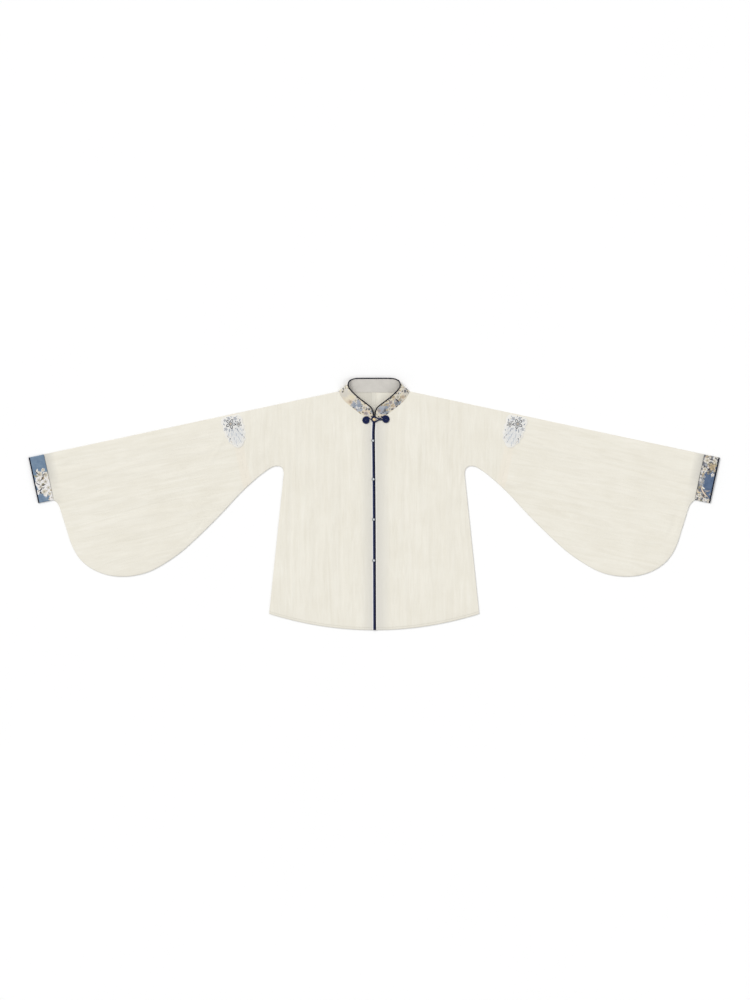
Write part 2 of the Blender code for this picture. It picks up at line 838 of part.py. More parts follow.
def build_patch(collection, name, side, ground):
    """Stitched patch across the sleeve seam, from the top fold down, with a scalloped edge."""
    sections = []
    for across, half_width in PATCH_ROWS:
        lean = PATCH_LEAN * (1.0 - across / PATCH_ROWS[-1][0])
        section = []
        for step in range(PATCH_COLUMNS + 1):
            offset = half_width * (2.0 * step / PATCH_COLUMNS - 1.0)
            point = sleeve_point(SLEEVE_SEAM + lean + offset, across)
            lift = ground.height_under(side * point.x, point.y, 2.0) + SEAM_GAP + PATCH_WALL
            section.append((side * point.x, point.y, lift))
        sections.append(section)
    mesh = loft(name, sections, closed=False)
    face_up(mesh)
    piece = add_piece(collection, name, mesh, PALE_PATCH)
    add_wall(piece, PATCH_WALL)
    return piece


def clear_scene():
    """Remove what the file opened with."""
    for item in list(bpy.data.objects):
        bpy.data.objects.remove(item)


def build_jacket():
    """Every piece of the jacket, from the layer that lies lowest to the fastenings."""
    clear_scene()
    collection = bpy.data.collections.new(COLLECTION_NAME)
    bpy.context.scene.collection.children.link(collection)
    edges = garment_edges()
    neck_path = smooth_path(FRONT_NECK, 10)
    cloth = {}
    for word, side in SIDES.items():
        build_back(collection, f"back_{word}", side)
        cloth["front", word] = build_front(collection, f"front_{word}", side, edges, neck_path)
        cloth["sleeve", word] = build_sleeve(collection, f"sleeve_{word}", side, edges)
        cuff_start = CUFF_SEAM + SEAM_GAP
        cuff_end = cuff_start + CUFF_WIDTH
        build_cuff_band(
            collection, f"cuff_{word}", side, (cuff_start, cuff_end),
            CUFF_FOLD_RADIUS, CUFF_WALL, PRINTED_CUFF,
        )
        binding_start = cuff_end + SEAM_GAP
        build_cuff_band(
            collection, f"cuff_binding_{word}", side,
            (binding_start, binding_start + CUFF_BINDING_WIDTH),
            CUFF_FOLD_RADIUS, CUFF_BINDING_WALL, NAVY_CORD,
        )
        cloth["binding", word] = build_front_binding(collection, f"front_binding_{word}", side)
    half = collar_half(neck_path)
    collar = build_collar(collection, "collar", half)
    piping = build_collar_piping(collection, "collar_piping", half)
    under_frogs = [cloth["front", word] for word in SIDES]
    under_frogs += [cloth["binding", word] for word in SIDES]
    under_frogs += [collar, piping]
    ground = Ground(under_frogs)
    for word in SIDES:
        build_frog(collection, f"frog_{word}", word, ground)
        under_patch = Ground([cloth["front", word], cloth["sleeve", word]])
        build_patch(collection, f"patch_{word}", SIDES[word], under_patch)
    build_bead(collection, "frog_bead", ground)
    for number, level in enumerate(BUTTON_LEVELS, start=1):
        build_button(collection, f"button_{number}", level, ground)


build_jacket()
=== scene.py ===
"""Looks of the cream stand-collar jacket with wide curved sleeves, laid flat front up.

The frame gives every piece its place, in metres. Plans and tables here are in
millimetres, and MM turns them into metres. The wearer's left half is at +X.
"""

import math

import bmesh
import bpy
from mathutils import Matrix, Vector, noise
from mathutils.bvhtree import BVHTree
from mathutils.geometry import interpolate_bezier
from mathutils.kdtree import KDTree


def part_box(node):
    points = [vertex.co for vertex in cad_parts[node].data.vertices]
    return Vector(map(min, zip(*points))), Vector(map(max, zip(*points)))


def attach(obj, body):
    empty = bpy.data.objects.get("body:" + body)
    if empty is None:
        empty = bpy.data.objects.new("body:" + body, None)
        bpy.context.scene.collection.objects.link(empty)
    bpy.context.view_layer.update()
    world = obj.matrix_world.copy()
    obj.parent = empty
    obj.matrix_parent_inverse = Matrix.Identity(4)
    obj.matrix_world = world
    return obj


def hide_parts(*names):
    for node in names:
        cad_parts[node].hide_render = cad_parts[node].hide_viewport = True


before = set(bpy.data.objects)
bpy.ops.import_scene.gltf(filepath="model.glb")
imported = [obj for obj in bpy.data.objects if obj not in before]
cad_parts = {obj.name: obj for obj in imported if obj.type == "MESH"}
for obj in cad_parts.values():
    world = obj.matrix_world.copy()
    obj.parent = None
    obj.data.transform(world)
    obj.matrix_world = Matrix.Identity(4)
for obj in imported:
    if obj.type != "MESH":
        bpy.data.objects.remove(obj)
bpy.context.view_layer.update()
MM = 0.001
SIDES = {"left": 1, "right": -1}


# The cloth of the fronts, backs and sleeves: crinkled cotton gauze in a warm cream.
# A plain weave of thin uneven thread, washed so that it creases along its grain.
THREAD_PITCH = 0.55 * MM
CREAM = (0.774, 0.742, 0.655)
# The shade and light creams also paint shade in the creases' troughs and light on their crests
CREAM_SHADE = (0.716, 0.682, 0.590)
CREAM_LIGHT = (0.820, 0.797, 0.722)
# A deeper cream: for the hem line, and for painted shade at the edges and beside the opening
CREAM_DEEP = (0.640, 0.622, 0.570)
# Painted highlight beside the bound edge
CREAM_HIGHLIGHT = (0.880, 0.870, 0.840)
# Painted shade on the sleeve beside the cuff
CREAM_CUFF_SHADE = (0.540, 0.525, 0.480)
CREAM_PEACH = (0.800, 0.700, 0.575)
CREAM_EVEN = 0.38

# Slope and start of the mask of a weave's thicker threads
THICK_THREADS = (5.0, -2.6)

# Tone of the wrong side of each half, which shows inside the neck: painted shade on the right half
# and a little painted light on the left
INSIDE_LIGHT_AND_SHADE = {"left": 1.02, "right": 0.83}

# A material's roughness is how much it varies and its least. Its relief is the strength of the
# bump and its depth in millimetres.
GAUZE_ROUGH = (0.25, 0.72)
GAUZE_RELIEF = (1.0, 0.55)

# Tones of the cloth in millimetres from an edge: where each is full and where it ends. The hem fold
# is the cloth's own. The others are painted: shade at the edges, shade beside the opening over the
# facing seen through, a highlight beside the bound edge, and shade beside the cuff. The painted
# shade at the cuff is deeper above a height on the jacket, which is the last row.
HEM_FOLD = (5.6, 6.6)
PAINTED_EDGE_SHADE = (0.2, 2.2)
FACING_AND_SHADE = (5.86, 40.34)
BINDING_HIGHLIGHT = (1.0, 3.0)
CUFF_SHADE = (0.0, 27.8)
UPPER_CUFF_SHADE = (75.0, 35.0)

# Strength of the painted shade at the cuff, as how much more it is above that height and its least
CUFF_SHADE_TONE = (0.55, 0.30)

# Lines in the cloth: distance from an edge and half width, in millimetres
HEM_STITCH_INSET = 6.2
HEM_LINE = (HEM_STITCH_INSET, 0.9)
SEAM_BLUSH = (3.0, 12.0)


def fill_inputs(tree, node, inputs):
    """Fill inputs of a node with values or with other nodes' outputs."""
    for key, value in inputs.items():
        if isinstance(value, bpy.types.NodeSocket):
            tree.links.new(value, node.inputs[key])
        else:
            node.inputs[key].default_value = value


def add_node(tree, kind, inputs=None, **options):
    """Add a shader node, set its options and fill its inputs."""
    node = tree.nodes.new("ShaderNode" + kind)
    for option, value in options.items():
        setattr(node, option, value)
    fill_inputs(tree, node, inputs or {})
    return node


def compute(tree, operation, *values):
    """Output of a Math node on the values, clamped to 0..1 where the name ends in a plus sign."""
    options = {"operation": operation.strip("+"), "use_clamp": operation.endswith("+")}
    return add_node(tree, "Math", dict(enumerate(values)), **options).outputs[0]


def ramp(tree, value, slope, start):
    """Mask from 0 to 1: a start and a value times a slope, clamped."""
    return compute(tree, "MULTIPLY_ADD+", value, slope, start)


def fade(tree, distance, full, none):
    """Mask that is full at one distance and nothing at another, both in millimetres."""
    slope = 1.0 / (full - none)
    return ramp(tree, distance, slope / MM, -none * slope)


def add_up(tree, *parts):
    """Sum of values. Each part is a value and its weight."""
    total = 0.0
    for value, weight in parts:
        total = compute(tree, "MULTIPLY_ADD", value, weight, total)
    return total


def mix_colours(tree, share, first, second):
    """Output of a colour mix. A colour is three numbers or an output."""
    inputs = {0: share}
    for key, colour in ((6, first), (7, second)):
        inputs[key] = colour if isinstance(colour, bpy.types.NodeSocket) else (*colour, 1.0)
    return add_node(tree, "Mix", inputs, data_type="RGBA").outputs[2]


def times(colour, factor):
    """A colour made deeper or lighter by a factor."""
    return tuple(factor * value for value in colour)


def tint(tree, colour, *washes):
    """Colour after washes over it. Each wash is a mask, its strength and its colour."""
    for mask, strength, wash in washes:
        colour = mix_colours(tree, compute(tree, "MULTIPLY", mask, strength), colour, wash)
    return colour


def clouds(tree, place, scale, detail, bend=0.0):
    """Value of a cloudy noise at a place."""
    inputs = {"Vector": place, "Scale": scale, "Detail": detail, "Distortion": bend}
    return add_node(tree, "TexNoise", inputs).outputs[0]


def streaks(tree, place, scales, detail, bend=0.0):
    """Value of a noise that is stretched by its scales along X, Y and Z."""
    stretched = add_node(tree, "Mapping", {"Vector": place, "Scale": scales}).outputs[0]
    return clouds(tree, stretched, 1.0, detail, bend)


def turned_place(tree, place, degrees):
    """A place turned round Z."""
    inputs = {"Vector": place, "Rotation": (0.0, 0.0, math.radians(degrees))}
    return add_node(tree, "Mapping", inputs).outputs[0]


def relief(tree, height, strength, depth):
    """Normal of a fine relief, its depth in millimetres."""
    inputs = {"Strength": strength, "Distance": depth * MM, "Height": height}
    return add_node(tree, "Bump", inputs).outputs[0]


def new_group(name, inputs, outputs):
    """A shader node group with named inputs and outputs, each a float or a vector."""
    tree = bpy.data.node_groups.new(name, "ShaderNodeTree")
    for in_out, sockets in (("INPUT", inputs), ("OUTPUT", outputs)):
        for socket, kind in sockets.items():
            tree.interface.new_socket(socket, in_out=in_out, socket_type="NodeSocket" + kind)
    start = tree.nodes.new("NodeGroupInput")
    end = tree.nodes.new("NodeGroupOutput")
    return tree, start.outputs, end.inputs


def use_group(tree, group, inputs):
    """Place a node group in a tree and give back its outputs."""
    return add_node(tree, "Group", inputs, node_tree=group).outputs


def weave_group():
    """Plain weave: threads that go over and under each other, with thick and thin places."""
    tree, given, result = new_group(
        "plain weave",
        {"Place": "Vector", "Pitch": "Float"},
        {"Height": "Float", "Slub": "Float"},
    )
    place = add_node(tree, "SeparateXYZ", {0: given["Place"]}).outputs
    turns = compute(tree, "DIVIDE", math.pi, given["Pitch"])
    warp = compute(tree, "SINE", compute(tree, "MULTIPLY", place[0], turns))
    weft = compute(tree, "SINE", compute(tree, "MULTIPLY", place[1], turns))
    over = ramp(tree, compute(tree, "MULTIPLY", warp, weft), 3.0, 0.5)
    warp = compute(tree, "ABSOLUTE", warp)
    weft = compute(tree, "ABSOLUTE", weft)
    warp_top = compute(tree, "MULTIPLY", warp, compute(tree, "MULTIPLY_ADD", weft, 0.4, 0.6))
    weft_top = compute(tree, "MULTIPLY", weft, compute(tree, "MULTIPLY_ADD", warp, 0.4, 0.6))
    lifted = compute(tree, "MULTIPLY", over, compute(tree, "SUBTRACT", warp_top, weft_top))
    tree.links.new(compute(tree, "ADD", weft_top, lifted), result["Height"])
    along_weft = streaks(tree, given["Place"], (22.0, 620.0, 60.0), 2.0)
    along_warp = streaks(tree, given["Place"], (700.0, 26.0, 60.0), 2.0)
    tree.links.new(add_up(tree, (along_weft, 0.5), (along_warp, 0.5)), result["Slub"])
    return tree


def crinkle_group():
    """Fine uneven creases along Y, some sharp and some soft, and their tone, which is lighter on
    their wide crests as painted light and shade, with clouds at random.
    """
    tree, given, result = new_group(
        "washed crinkle", {"Place": "Vector"}, {"Height": "Float", "Tone": "Float"}
    )
    narrow = streaks(tree, given["Place"], (210.0, 13.0, 30.0), 3.0, 1.7)
    wide = streaks(tree, given["Place"], (95.0, 8.0, 30.0), 2.0, 1.2)
    sharp = compute(tree, "ABSOLUTE", compute(tree, "MULTIPLY_ADD", narrow, 2.0, -1.0))
    tree.links.new(compute(tree, "MULTIPLY_ADD", sharp, -0.55, wide), result["Height"])
    cloud = clouds(tree, given["Place"], 14.0, 4.0)
    tree.links.new(add_up(tree, (cloud, 0.4), (wide, 0.6)), result["Tone"])
    return tree


def line_group():
    """Mask of a narrow line that runs at a distance from an edge, soft on both sides."""
    tree, given, result = new_group(
        "line along an edge",
        {"Distance": "Float", "At": "Float", "Half": "Float"},
        {"Mask": "Float"},
    )
    away = compute(tree, "ABSOLUTE", compute(tree, "SUBTRACT", given["Distance"], given["At"]))
    share = compute(tree, "DIVIDE", away, given["Half"])
    tree.links.new(ramp(tree, share, -2.0, 2.0), result["Mask"])
    return tree


weave = weave_group()
crinkle = crinkle_group()
edge_line = line_group()


def new_material(name):
    """A node material with its tree and its Principled shader."""
    material = bpy.data.materials.new(name)
    material.use_nodes = True
    return material, material.node_tree, material.node_tree.nodes["Principled BSDF"]


def object_place(tree):
    """Place on the object itself."""
    return add_node(tree, "TexCoord").outputs["Object"]


def edge_value(tree, name):
    """A distance that is kept on the cloth's points."""
    return add_node(tree, "Attribute", attribute_name=name).outputs["Fac"]


def line_at(tree, distance, at, half):
    """Mask of a line along an edge, its distance and half width in millimetres."""
    inputs = {"Distance": distance, "At": at * MM, "Half": half * MM}
    return use_group(tree, edge_line, inputs)["Mask"]


def gauze(name, turn, tone=1.0):
    """Crinkled gauze whose grain is turned from the Y axis by an angle in degrees."""
    shade, light, plain = (times(colour, tone) for colour in (CREAM_SHADE, CREAM_LIGHT, CREAM))
    material, tree, shader = new_material(name)
    place = object_place(tree)
    grain = turned_place(tree, place, turn)
    threads = use_group(tree, weave, {"Place": grain, "Pitch": THREAD_PITCH})
    creases = use_group(tree, crinkle, {"Place": grain})
    slub = ramp(tree, threads["Slub"], *THICK_THREADS)
    clouded = ramp(tree, clouds(tree, grain, 9.0, 3.0, 0.8), 3.0, -1.25)
    hem = edge_value(tree, "hem")
    hem_band = fade(tree, hem, *HEM_FOLD)
    hem_line = line_at(tree, hem, *HEM_LINE)
    # Painted shade within a little of every edge of the cloth
    edge_shade = fade(tree, edge_value(tree, "edge"), *PAINTED_EDGE_SHADE)
    # Deeper beside the opening: the facing seen through, and painted shade
    faced_and_shaded = fade(tree, edge_value(tree, "opening"), *FACING_AND_SHADE)
    # Painted highlight beside the bound edge
    binding_highlight = fade(tree, edge_value(tree, "binding"), *BINDING_HIGHLIGHT)
    # Painted shade on the sleeve beside the cuff, deeper above a height on the jacket
    cuff_shade = fade(tree, edge_value(tree, "cuff"), *CUFF_SHADE)
    upper = fade(tree, add_node(tree, "SeparateXYZ", {0: place}).outputs[1], *UPPER_CUFF_SHADE)
    upper = compute(tree, "MULTIPLY_ADD", upper, *CUFF_SHADE_TONE)
    cuff_shade = compute(tree, "MULTIPLY", cuff_shade, upper)
    blush = line_at(tree, edge_value(tree, "seam"), *SEAM_BLUSH)
    blush = compute(tree, "MULTIPLY", blush, creases["Tone"])
    # Painted light and shade of the creases: light cream on their crests, shade cream in their
    # troughs
    colour = mix_colours(tree, ramp(tree, creases["Tone"], 2.6, -0.82), shade, light)
    colour = mix_colours(tree, CREAM_EVEN, colour, plain)
    colour = tint(
        tree,
        colour,
        (slub, 0.35, light),
        (clouded, 0.22, shade),
        (hem_band, 0.22, shade),
        (blush, 0.45, CREAM_PEACH),
        (hem_line, 0.30, CREAM_DEEP),
        (edge_shade, 0.08, CREAM_DEEP),
        (faced_and_shaded, 0.95, CREAM_DEEP),
        (cuff_shade, 1.00, CREAM_CUFF_SHADE),
        (binding_highlight, 0.80, CREAM_HIGHLIGHT),
    )
    height = add_up(
        tree,
        (hem_line, -0.35),
        (hem_band, 0.35),
        (threads["Height"], 0.10),
        (threads["Slub"], 0.12),
        (creases["Height"], 1.1),
    )
    fill_inputs(tree, shader, {
        "Base Color": colour,
        "Roughness": compute(tree, "MULTIPLY_ADD", threads["Slub"], *GAUZE_ROUGH),
        "Normal": relief(tree, height, *GAUZE_RELIEF),
        "Sheen Weight": 0.12,
        "Sheen Roughness": 0.5,
        "Specular IOR Level": 0.25,
    })
    return material


body_gauze = gauze("body gauze", 0.0)
# Wrong sides of the halves, toned as painted light and shade inside the neck
shaded_inside_gauze = {}
for word, tone in INSIDE_LIGHT_AND_SHADE.items():
    shaded_inside_gauze[word] = gauze(f"gauze, wrong side {word}", 0.0, tone)


# The two backs, sewn together down the centre and cut in one with their sleeve roots. They
# lie face down and flat, and turn up round the folded shoulder and the sewn side seam.
CLOTH = 0.8
FOLD_RADIUS = 1.6
EDGE_BANDS = (0.35, 0.45, 0.8, 0.5, 1.2)
EDGE_RISE = 0.012
EDGE_BLEND = 8.0
BACK_STEP = (9.0, 12.0)
BACK_FOLD_SHARE = 0.97
NARROWEST_STRIP = 0.4
CUT_DISTANCE = 1e-7
FAR = 1.0
OUTLINE_STEP = 12.0
CLOSE_STEP = 8.0
CURVE_STEPS = 6
NECK_HALF = 92.2
CHEST = (235.0, 78.0)
HALF_HEM = 273.0
HEM_CENTRE = -327.9
HEM_RISE = 42.2
HEM_FIRST = 270
HEM_STEP = 10
SHOULDER_PEAK = 312.2
SHOULDER_SLOPE = math.radians(12.06)
SLEEVE_SEAM = 377.4
SEAM_DEPTH = 191.0
SEAM_GAP = 0.3

# Columns: x, y along the back neckline, from the centre seam to the neck point
BACK_NECK = ((0.15, 290.4), (60.0, 290.4), (88.5, 290.6), (92.2, 292.5))

# Columns: x, y round the armpit, from where the sleeve joins to the side seam
ARMPIT = (
    (329.16, 46.57), (297.0, 74.5), (268.0, 94.5), (252.0, 98.6), (242.0, 96.0), (236.6, 88.5),
    (235.0, 78.0),
)


def sleeve_point(along, across):
    """Place at a distance along the shoulder line and a depth square to it."""
    return Vector((
        along * math.cos(SHOULDER_SLOPE) - across * math.sin(SHOULDER_SLOPE),
        SHOULDER_PEAK - along * math.sin(SHOULDER_SLOPE) - across * math.cos(SHOULDER_SLOPE),
    ))


def hem_y(x):
    """Height of the curved hem at a distance from the centre."""
    return HEM_CENTRE + HEM_RISE * (x / HALF_HEM) ** 2


def ease(share):
    """A soft step from 0 to 1."""
    share = min(1.0, max(0.0, share))
    return share * share * (3.0 - 2.0 * share)


def smooth_line(points, steps):
    """A smooth curve through the points, with the same number of steps from each to the next."""
    points = [Vector(point) for point in points]
    line = [points[0]]
    for index in range(len(points) - 1):
        start = points[index]
        end = points[index + 1]
        start_pull = (end - points[max(index - 1, 0)]) / 6
        end_pull = (points[min(index + 2, len(points) - 1)] - start) / 6
        stretch = interpolate_bezier(start, start + start_pull, end - end_pull, end, steps + 1)
        line.extend(stretch[1:])
    return line


def straight_line(start, end, step):
    """Evenly spaced points from one place to another, about a step apart."""
    start = Vector(start)
    end = Vector(end)
    count = max(1, round((end - start).length / step))
    return [start.lerp(end, index / count) for index in range(count + 1)]


def panel_edges(neck, start_x):
    """Edges of half a body panel, in order round it from the neck point, as named lines."""
    hem_places = range(HEM_FIRST, int(start_x) + HEM_STEP // 2, -HEM_STEP)
    hem = [Vector((x, hem_y(x))) for x in hem_places]
    corner = Vector((HALF_HEM, hem_y(HALF_HEM)))
    centre_hem = Vector((start_x, hem_y(start_x)))
    seam_top = sleeve_point(SLEEVE_SEAM, 0.0)
    return {
        "shoulder": straight_line((NECK_HALF, neck[-1].y), seam_top, OUTLINE_STEP),
        "sleeve seam": straight_line(seam_top, ARMPIT[0], CLOSE_STEP),
        "armpit": smooth_line(ARMPIT, CURVE_STEPS),
        "side": straight_line(CHEST, corner, OUTLINE_STEP),
        "hem": [corner, *hem, centre_hem],
        "opening": straight_line(centre_hem, neck[0], CLOSE_STEP),
        "neck": neck,
    }


def cut_cloth(outline, bands, step):
    """Cloth cut to an outline, with narrow bands along its edge, scored across in both ways."""
    cloth = bmesh.new()
    face = cloth.faces.new([cloth.verts.new((x * MM, y * MM, 0.0)) for x, y in outline])
    face.normal_update()
    if face.normal.z < 0:
        face.normal_flip()
    for band in bands:
        bmesh.ops.inset_region(
            cloth, faces=[face], thickness=band * MM, use_boundary=True, use_even_offset=True
        )
    for axis in (0, 1):
        places = [vertex.co[axis] for vertex in cloth.verts]
        spacing = step[axis] * MM
        place = min(places) + spacing
        while place < max(places) - NARROWEST_STRIP * spacing:
            point = Vector((0.0, 0.0, 0.0))
            normal = Vector((0.0, 0.0, 0.0))
            point[axis] = place
            normal[axis] = 1.0
            everything = cloth.verts[:] + cloth.edges[:] + cloth.faces[:]
            bmesh.ops.bisect_plane(
                cloth, geom=everything, dist=CUT_DISTANCE, plane_co=point, plane_no=normal
            )
            place += spacing
    return cloth


def near(line):
    """A line as closely spaced points with a search tree of them, for distances to it."""
    dense = []
    for start, end in zip(line, line[1:]):
        dense += straight_line(start, end, 1.0)[:-1]
    dense.append(Vector(line[-1]))
    tree = KDTree(len(dense))
    for index, point in enumerate(dense):
        tree.insert((point.x, point.y, 0.0), index)
    tree.balance()
    return tree, dense


def away(path, x, y):
    """Distance from a place to a line, which is that to a stretch beside its nearest point."""
    tree, dense = path
    nearest = tree.find((x, y, 0.0))[1]
    distances = []
    for index in (max(nearest - 1, 0), min(nearest, len(dense) - 2)):
        start = dense[index]
        along = dense[index + 1] - start
        offset = Vector((x, y)) - start
        share = min(1.0, max(0.0, offset.dot(along) / along.length_squared))
        distances.append((offset - along * share).length)
    return min(distances)


def keep_distances(cloth, **distances):
    """Write distances on the cloth's points, in metres, for its material. Each is a function."""
    for name in ("edge", "hem", "opening", "binding", "seam", "cuff"):
        layer = cloth.verts.layers.float.new(name)
        measure = distances.get(name)
        for vertex in cloth.verts:
            x = vertex.co.x / MM
            y = vertex.co.y / MM
            vertex[layer] = measure(x, y) * MM if measure else FAR


def add_object(name, data):
    """Put an object in the scene."""
    piece = bpy.data.objects.new(name, data)
    bpy.context.scene.collection.objects.link(piece)
    return piece


def add_wall(piece, thickness, offset, inner_material):
    """Give a shell its wall, with a material for its inner side and its rim."""
    wall = piece.modifiers.new("wall", "SOLIDIFY")
    wall.thickness = thickness * MM
    wall.offset = offset
    wall.material_offset = inner_material


def finish_piece(name, shape, materials, thickness=CLOTH):
    """Make the smooth object of a shape, with a wall if it has a thickness, and let it ride."""
    mesh = bpy.data.meshes.new(name)
    for face in shape.faces:
        face.smooth = True
    for edge in shape.edges:
        edge.smooth = not edge.is_boundary
    shape.to_mesh(mesh)
    shape.free()
    for material in materials:
        mesh.materials.append(material)
    piece = add_object(name, mesh)
    if thickness:
        add_wall(piece, thickness, -1.0, len(materials) - 1)
    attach(piece, "root")
    return piece


def fold_height(distance):
    """Rise of a folded or sewn edge above its middle, at a distance in from the edge."""
    reach = FOLD_RADIUS - min(distance, FOLD_RADIUS)
    return math.sqrt(FOLD_RADIUS**2 - reach**2)


def edge_cap(edge_top, distance):
    """Height of a cloth near a folded edge: round the fold, and then slowly rising."""
    return edge_top + fold_height(distance) + EDGE_RISE * max(0.0, distance - FOLD_RADIUS) ** 2


def at_fold(height, edge_top, distance):
    """Height of a cloth, led over into that of its folded edge."""
    cap = edge_cap(edge_top, distance)
    return cap + (height - cap) * ease((distance - FOLD_RADIUS) / EDGE_BLEND)


for word, side in SIDES.items():
    edges = panel_edges([Vector(point) for point in BACK_NECK], BACK_NECK[0][0])
    outline = [point for line in edges.values() for point in line[:-1]]
    cloth = cut_cloth([(side * x, y) for x, y in outline], EDGE_BANDS, BACK_STEP)
    cut_area = sum(face.calc_area() for face in cloth.faces)
    rolled = near(edges["shoulder"])
    sewn = near(edges["armpit"] + edges["side"][1:])
    for vertex in cloth.verts:
        x = side * vertex.co.x / MM
        y = vertex.co.y / MM
        distance = min(away(rolled, x, y), away(sewn, x, y))
        vertex.co.z = (FOLD_RADIUS - fold_height(distance)) * BACK_FOLD_SHARE * MM
    border = near(outline + outline[:1])
    hem = near(edges["hem"])
    keep_distances(
        cloth,
        edge=lambda x, y: away(border, side * x, y),
        hem=lambda x, y: away(hem, side * x, y),
    )
    bmesh.ops.reverse_faces(cloth, faces=cloth.faces)
    piece = finish_piece(f"cloth_back_{word}", cloth, [body_gauze, shaded_inside_gauze[word]])
    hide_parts(f"back_{word}")


# The seam allowances of the centre back: raw edges of the same gauze, pressed open to both
# sides of the seam. They show as one pale band inside the neck.
ALLOWANCE_WIDTH = 5.0
ALLOWANCE_WALL = 0.3
ALLOWANCE_BASE = 1.1
ALLOWANCE_LIFT = 0.25
ALLOWANCE_WAVE = 0.08
ALLOWANCE_HIGHEST = 0.35
ALLOWANCE_FRAY = 0.12
ALLOWANCE_ENDS = (-318.0, 290.0)
# Tone of the allowances, deepened as painted shade inside the neck
ALLOWANCE_SHADE = 0.90
ALLOWANCE_GRID = (10, 120)

# Noise of the raw edges: waves across the width, and pitch along. Then pitches of their lift
FRAY_NOISE = (9.0, 7.0)
LIFT_PITCHES = (3.0, 11.0)

cloth = bmesh.new()
across, along = ALLOWANCE_GRID
bmesh.ops.create_grid(cloth, x_segments=across, y_segments=along, size=0.5)
for vertex in cloth.verts:
    share = vertex.co.y + 0.5
    y = ALLOWANCE_ENDS[0] + (ALLOWANCE_ENDS[1] - ALLOWANCE_ENDS[0]) * share
    place = Vector((FRAY_NOISE[0] * vertex.co.x, y / FRAY_NOISE[1], 3.0))
    frayed = 1.0 + ALLOWANCE_FRAY * noise.noise(place)
    x = 2.0 * vertex.co.x * ALLOWANCE_WIDTH * frayed
    lift = ALLOWANCE_LIFT * ease(abs(x) / ALLOWANCE_WIDTH)
    place = Vector((x / LIFT_PITCHES[0], y / LIFT_PITCHES[1], 0.0))
    lift += ALLOWANCE_WAVE * noise.noise(place)
    vertex.co = (x * MM, y * MM, (ALLOWANCE_BASE + min(lift, ALLOWANCE_HIGHEST)) * MM)
keep_distances(cloth)
cut_area = sum(face.calc_area() for face in cloth.faces)
raw_gauze = gauze("gauze, raw edges", 0.0, ALLOWANCE_SHADE)
piece = finish_piece("cloth_back_seam", cloth, [raw_gauze], ALLOWANCE_WALL)


# The bound edges of the fronts: bias strips of navy satin, folded over the raw edge and sewn
# down, which lie side by side from the collar to the hem and carry the fastenings.
BINDING_WIDTH = 3.4
BINDING_HEIGHT = 2.2
BINDING_ENDS = (222.6, -327.9)
BINDING_BASE = 1.5
BINDING_GRID = (14, 150)
SQUARE_POWER = 4
MERGE_DISTANCE = 1e-6
SATIN_SPECULAR = 0.14
SATIN_RIBS = 900.0
SATIN_RUBBED = (420.0, 60.0, 420.0)
SATIN_ROUGH = (0.30, 0.42)
SATIN_RELIEF = (0.7, 0.18)
BIAS = 45.0
NAVY = (0.0065, 0.0115, 0.0600)
NAVY_LIGHT = (0.0240, 0.0360, 0.1050)
# Colour of a painted highlight on satin
NAVY_HIGHLIGHT = (0.1900, 0.2400, 0.3900)
BLACK_NAVY = (0.0022, 0.0032, 0.0110)
BLACK_NAVY_LIGHT = (0.0080, 0.0105, 0.0280)

# How uneven the bound edges are: the wander of their middle in millimetres, and the puff as a
# share of their height. Columns: amount, pitch along, seed of the noise
BINDING_WANDER = (0.12, 21.0, 5.0)
BINDING_PUFF = (0.10, 6.0, 9.0)

# Columns: y, x of the centre front, which wanders a little as the jacket lies
OPENING_DRIFT = (
    (-327.9, 1.3), (-200.0, 0.9), (-60.0, 0.3), (60.0, -0.6), (185.0, -2.0), (222.6, 0.0),
)


def drift_at(y):
    """Sideways place of the centre front at a height."""
    for (start, low), (end, high) in zip(OPENING_DRIFT, OPENING_DRIFT[1:]):
        if y <= end:
            return low + (high - low) * max(0.0, (y - start) / (end - start))
    return OPENING_DRIFT[-1][1]


def satin(name, deep, light, ribs_turn=BIAS, highlight_strength=0.0):
    """Dark satin: fine ribs on the bias, paler where it has rubbed.

    With a highlight strength it also takes a painted highlight, paler where it turns down towards
    -X.
    """
    material, tree, shader = new_material(name)
    place = object_place(tree)
    waves = {"Scale": SATIN_RIBS, "Distortion": 1.5, "Detail": 2.0}
    waves["Vector"] = turned_place(tree, place, ribs_turn)
    ribs = add_node(tree, "TexWave", waves).outputs["Fac"]
    cloud = clouds(tree, place, 160.0, 5.0)
    rubbed = ramp(tree, streaks(tree, place, SATIN_RUBBED, 4.0), 4.0, -2.3)
    normal = add_node(tree, "NewGeometry").outputs["True Normal"]
    sideways = add_node(tree, "SeparateXYZ", {0: normal}).outputs[0]
    # Painted highlight where the satin turns down towards -X
    painted_highlight = ramp(tree, sideways, -2.2, -0.15)
    colour = mix_colours(tree, compute(tree, "MULTIPLY", ribs, cloud), deep, light)
    colour = tint(tree, colour, (rubbed, 0.4, light), (painted_highlight, highlight_strength, NAVY_HIGHLIGHT))
    height = compute(tree, "MULTIPLY_ADD", ribs, 0.35, cloud)
    fill_inputs(tree, shader, {
        "Base Color": colour,
        "Roughness": compute(tree, "MULTIPLY_ADD", cloud, *SATIN_ROUGH),
        "Normal": relief(tree, height, *SATIN_RELIEF),
        "Specular IOR Level": SATIN_SPECULAR,
    })
    return material


def close_ends(mesh):
    """Cap the open ends of a tube and turn its faces out."""
    rim = [edge for edge in mesh.edges if edge.is_boundary]
    bmesh.ops.holes_fill(mesh, edges=rim, sides=0)
    bmesh.ops.recalc_face_normals(mesh, faces=mesh.faces)
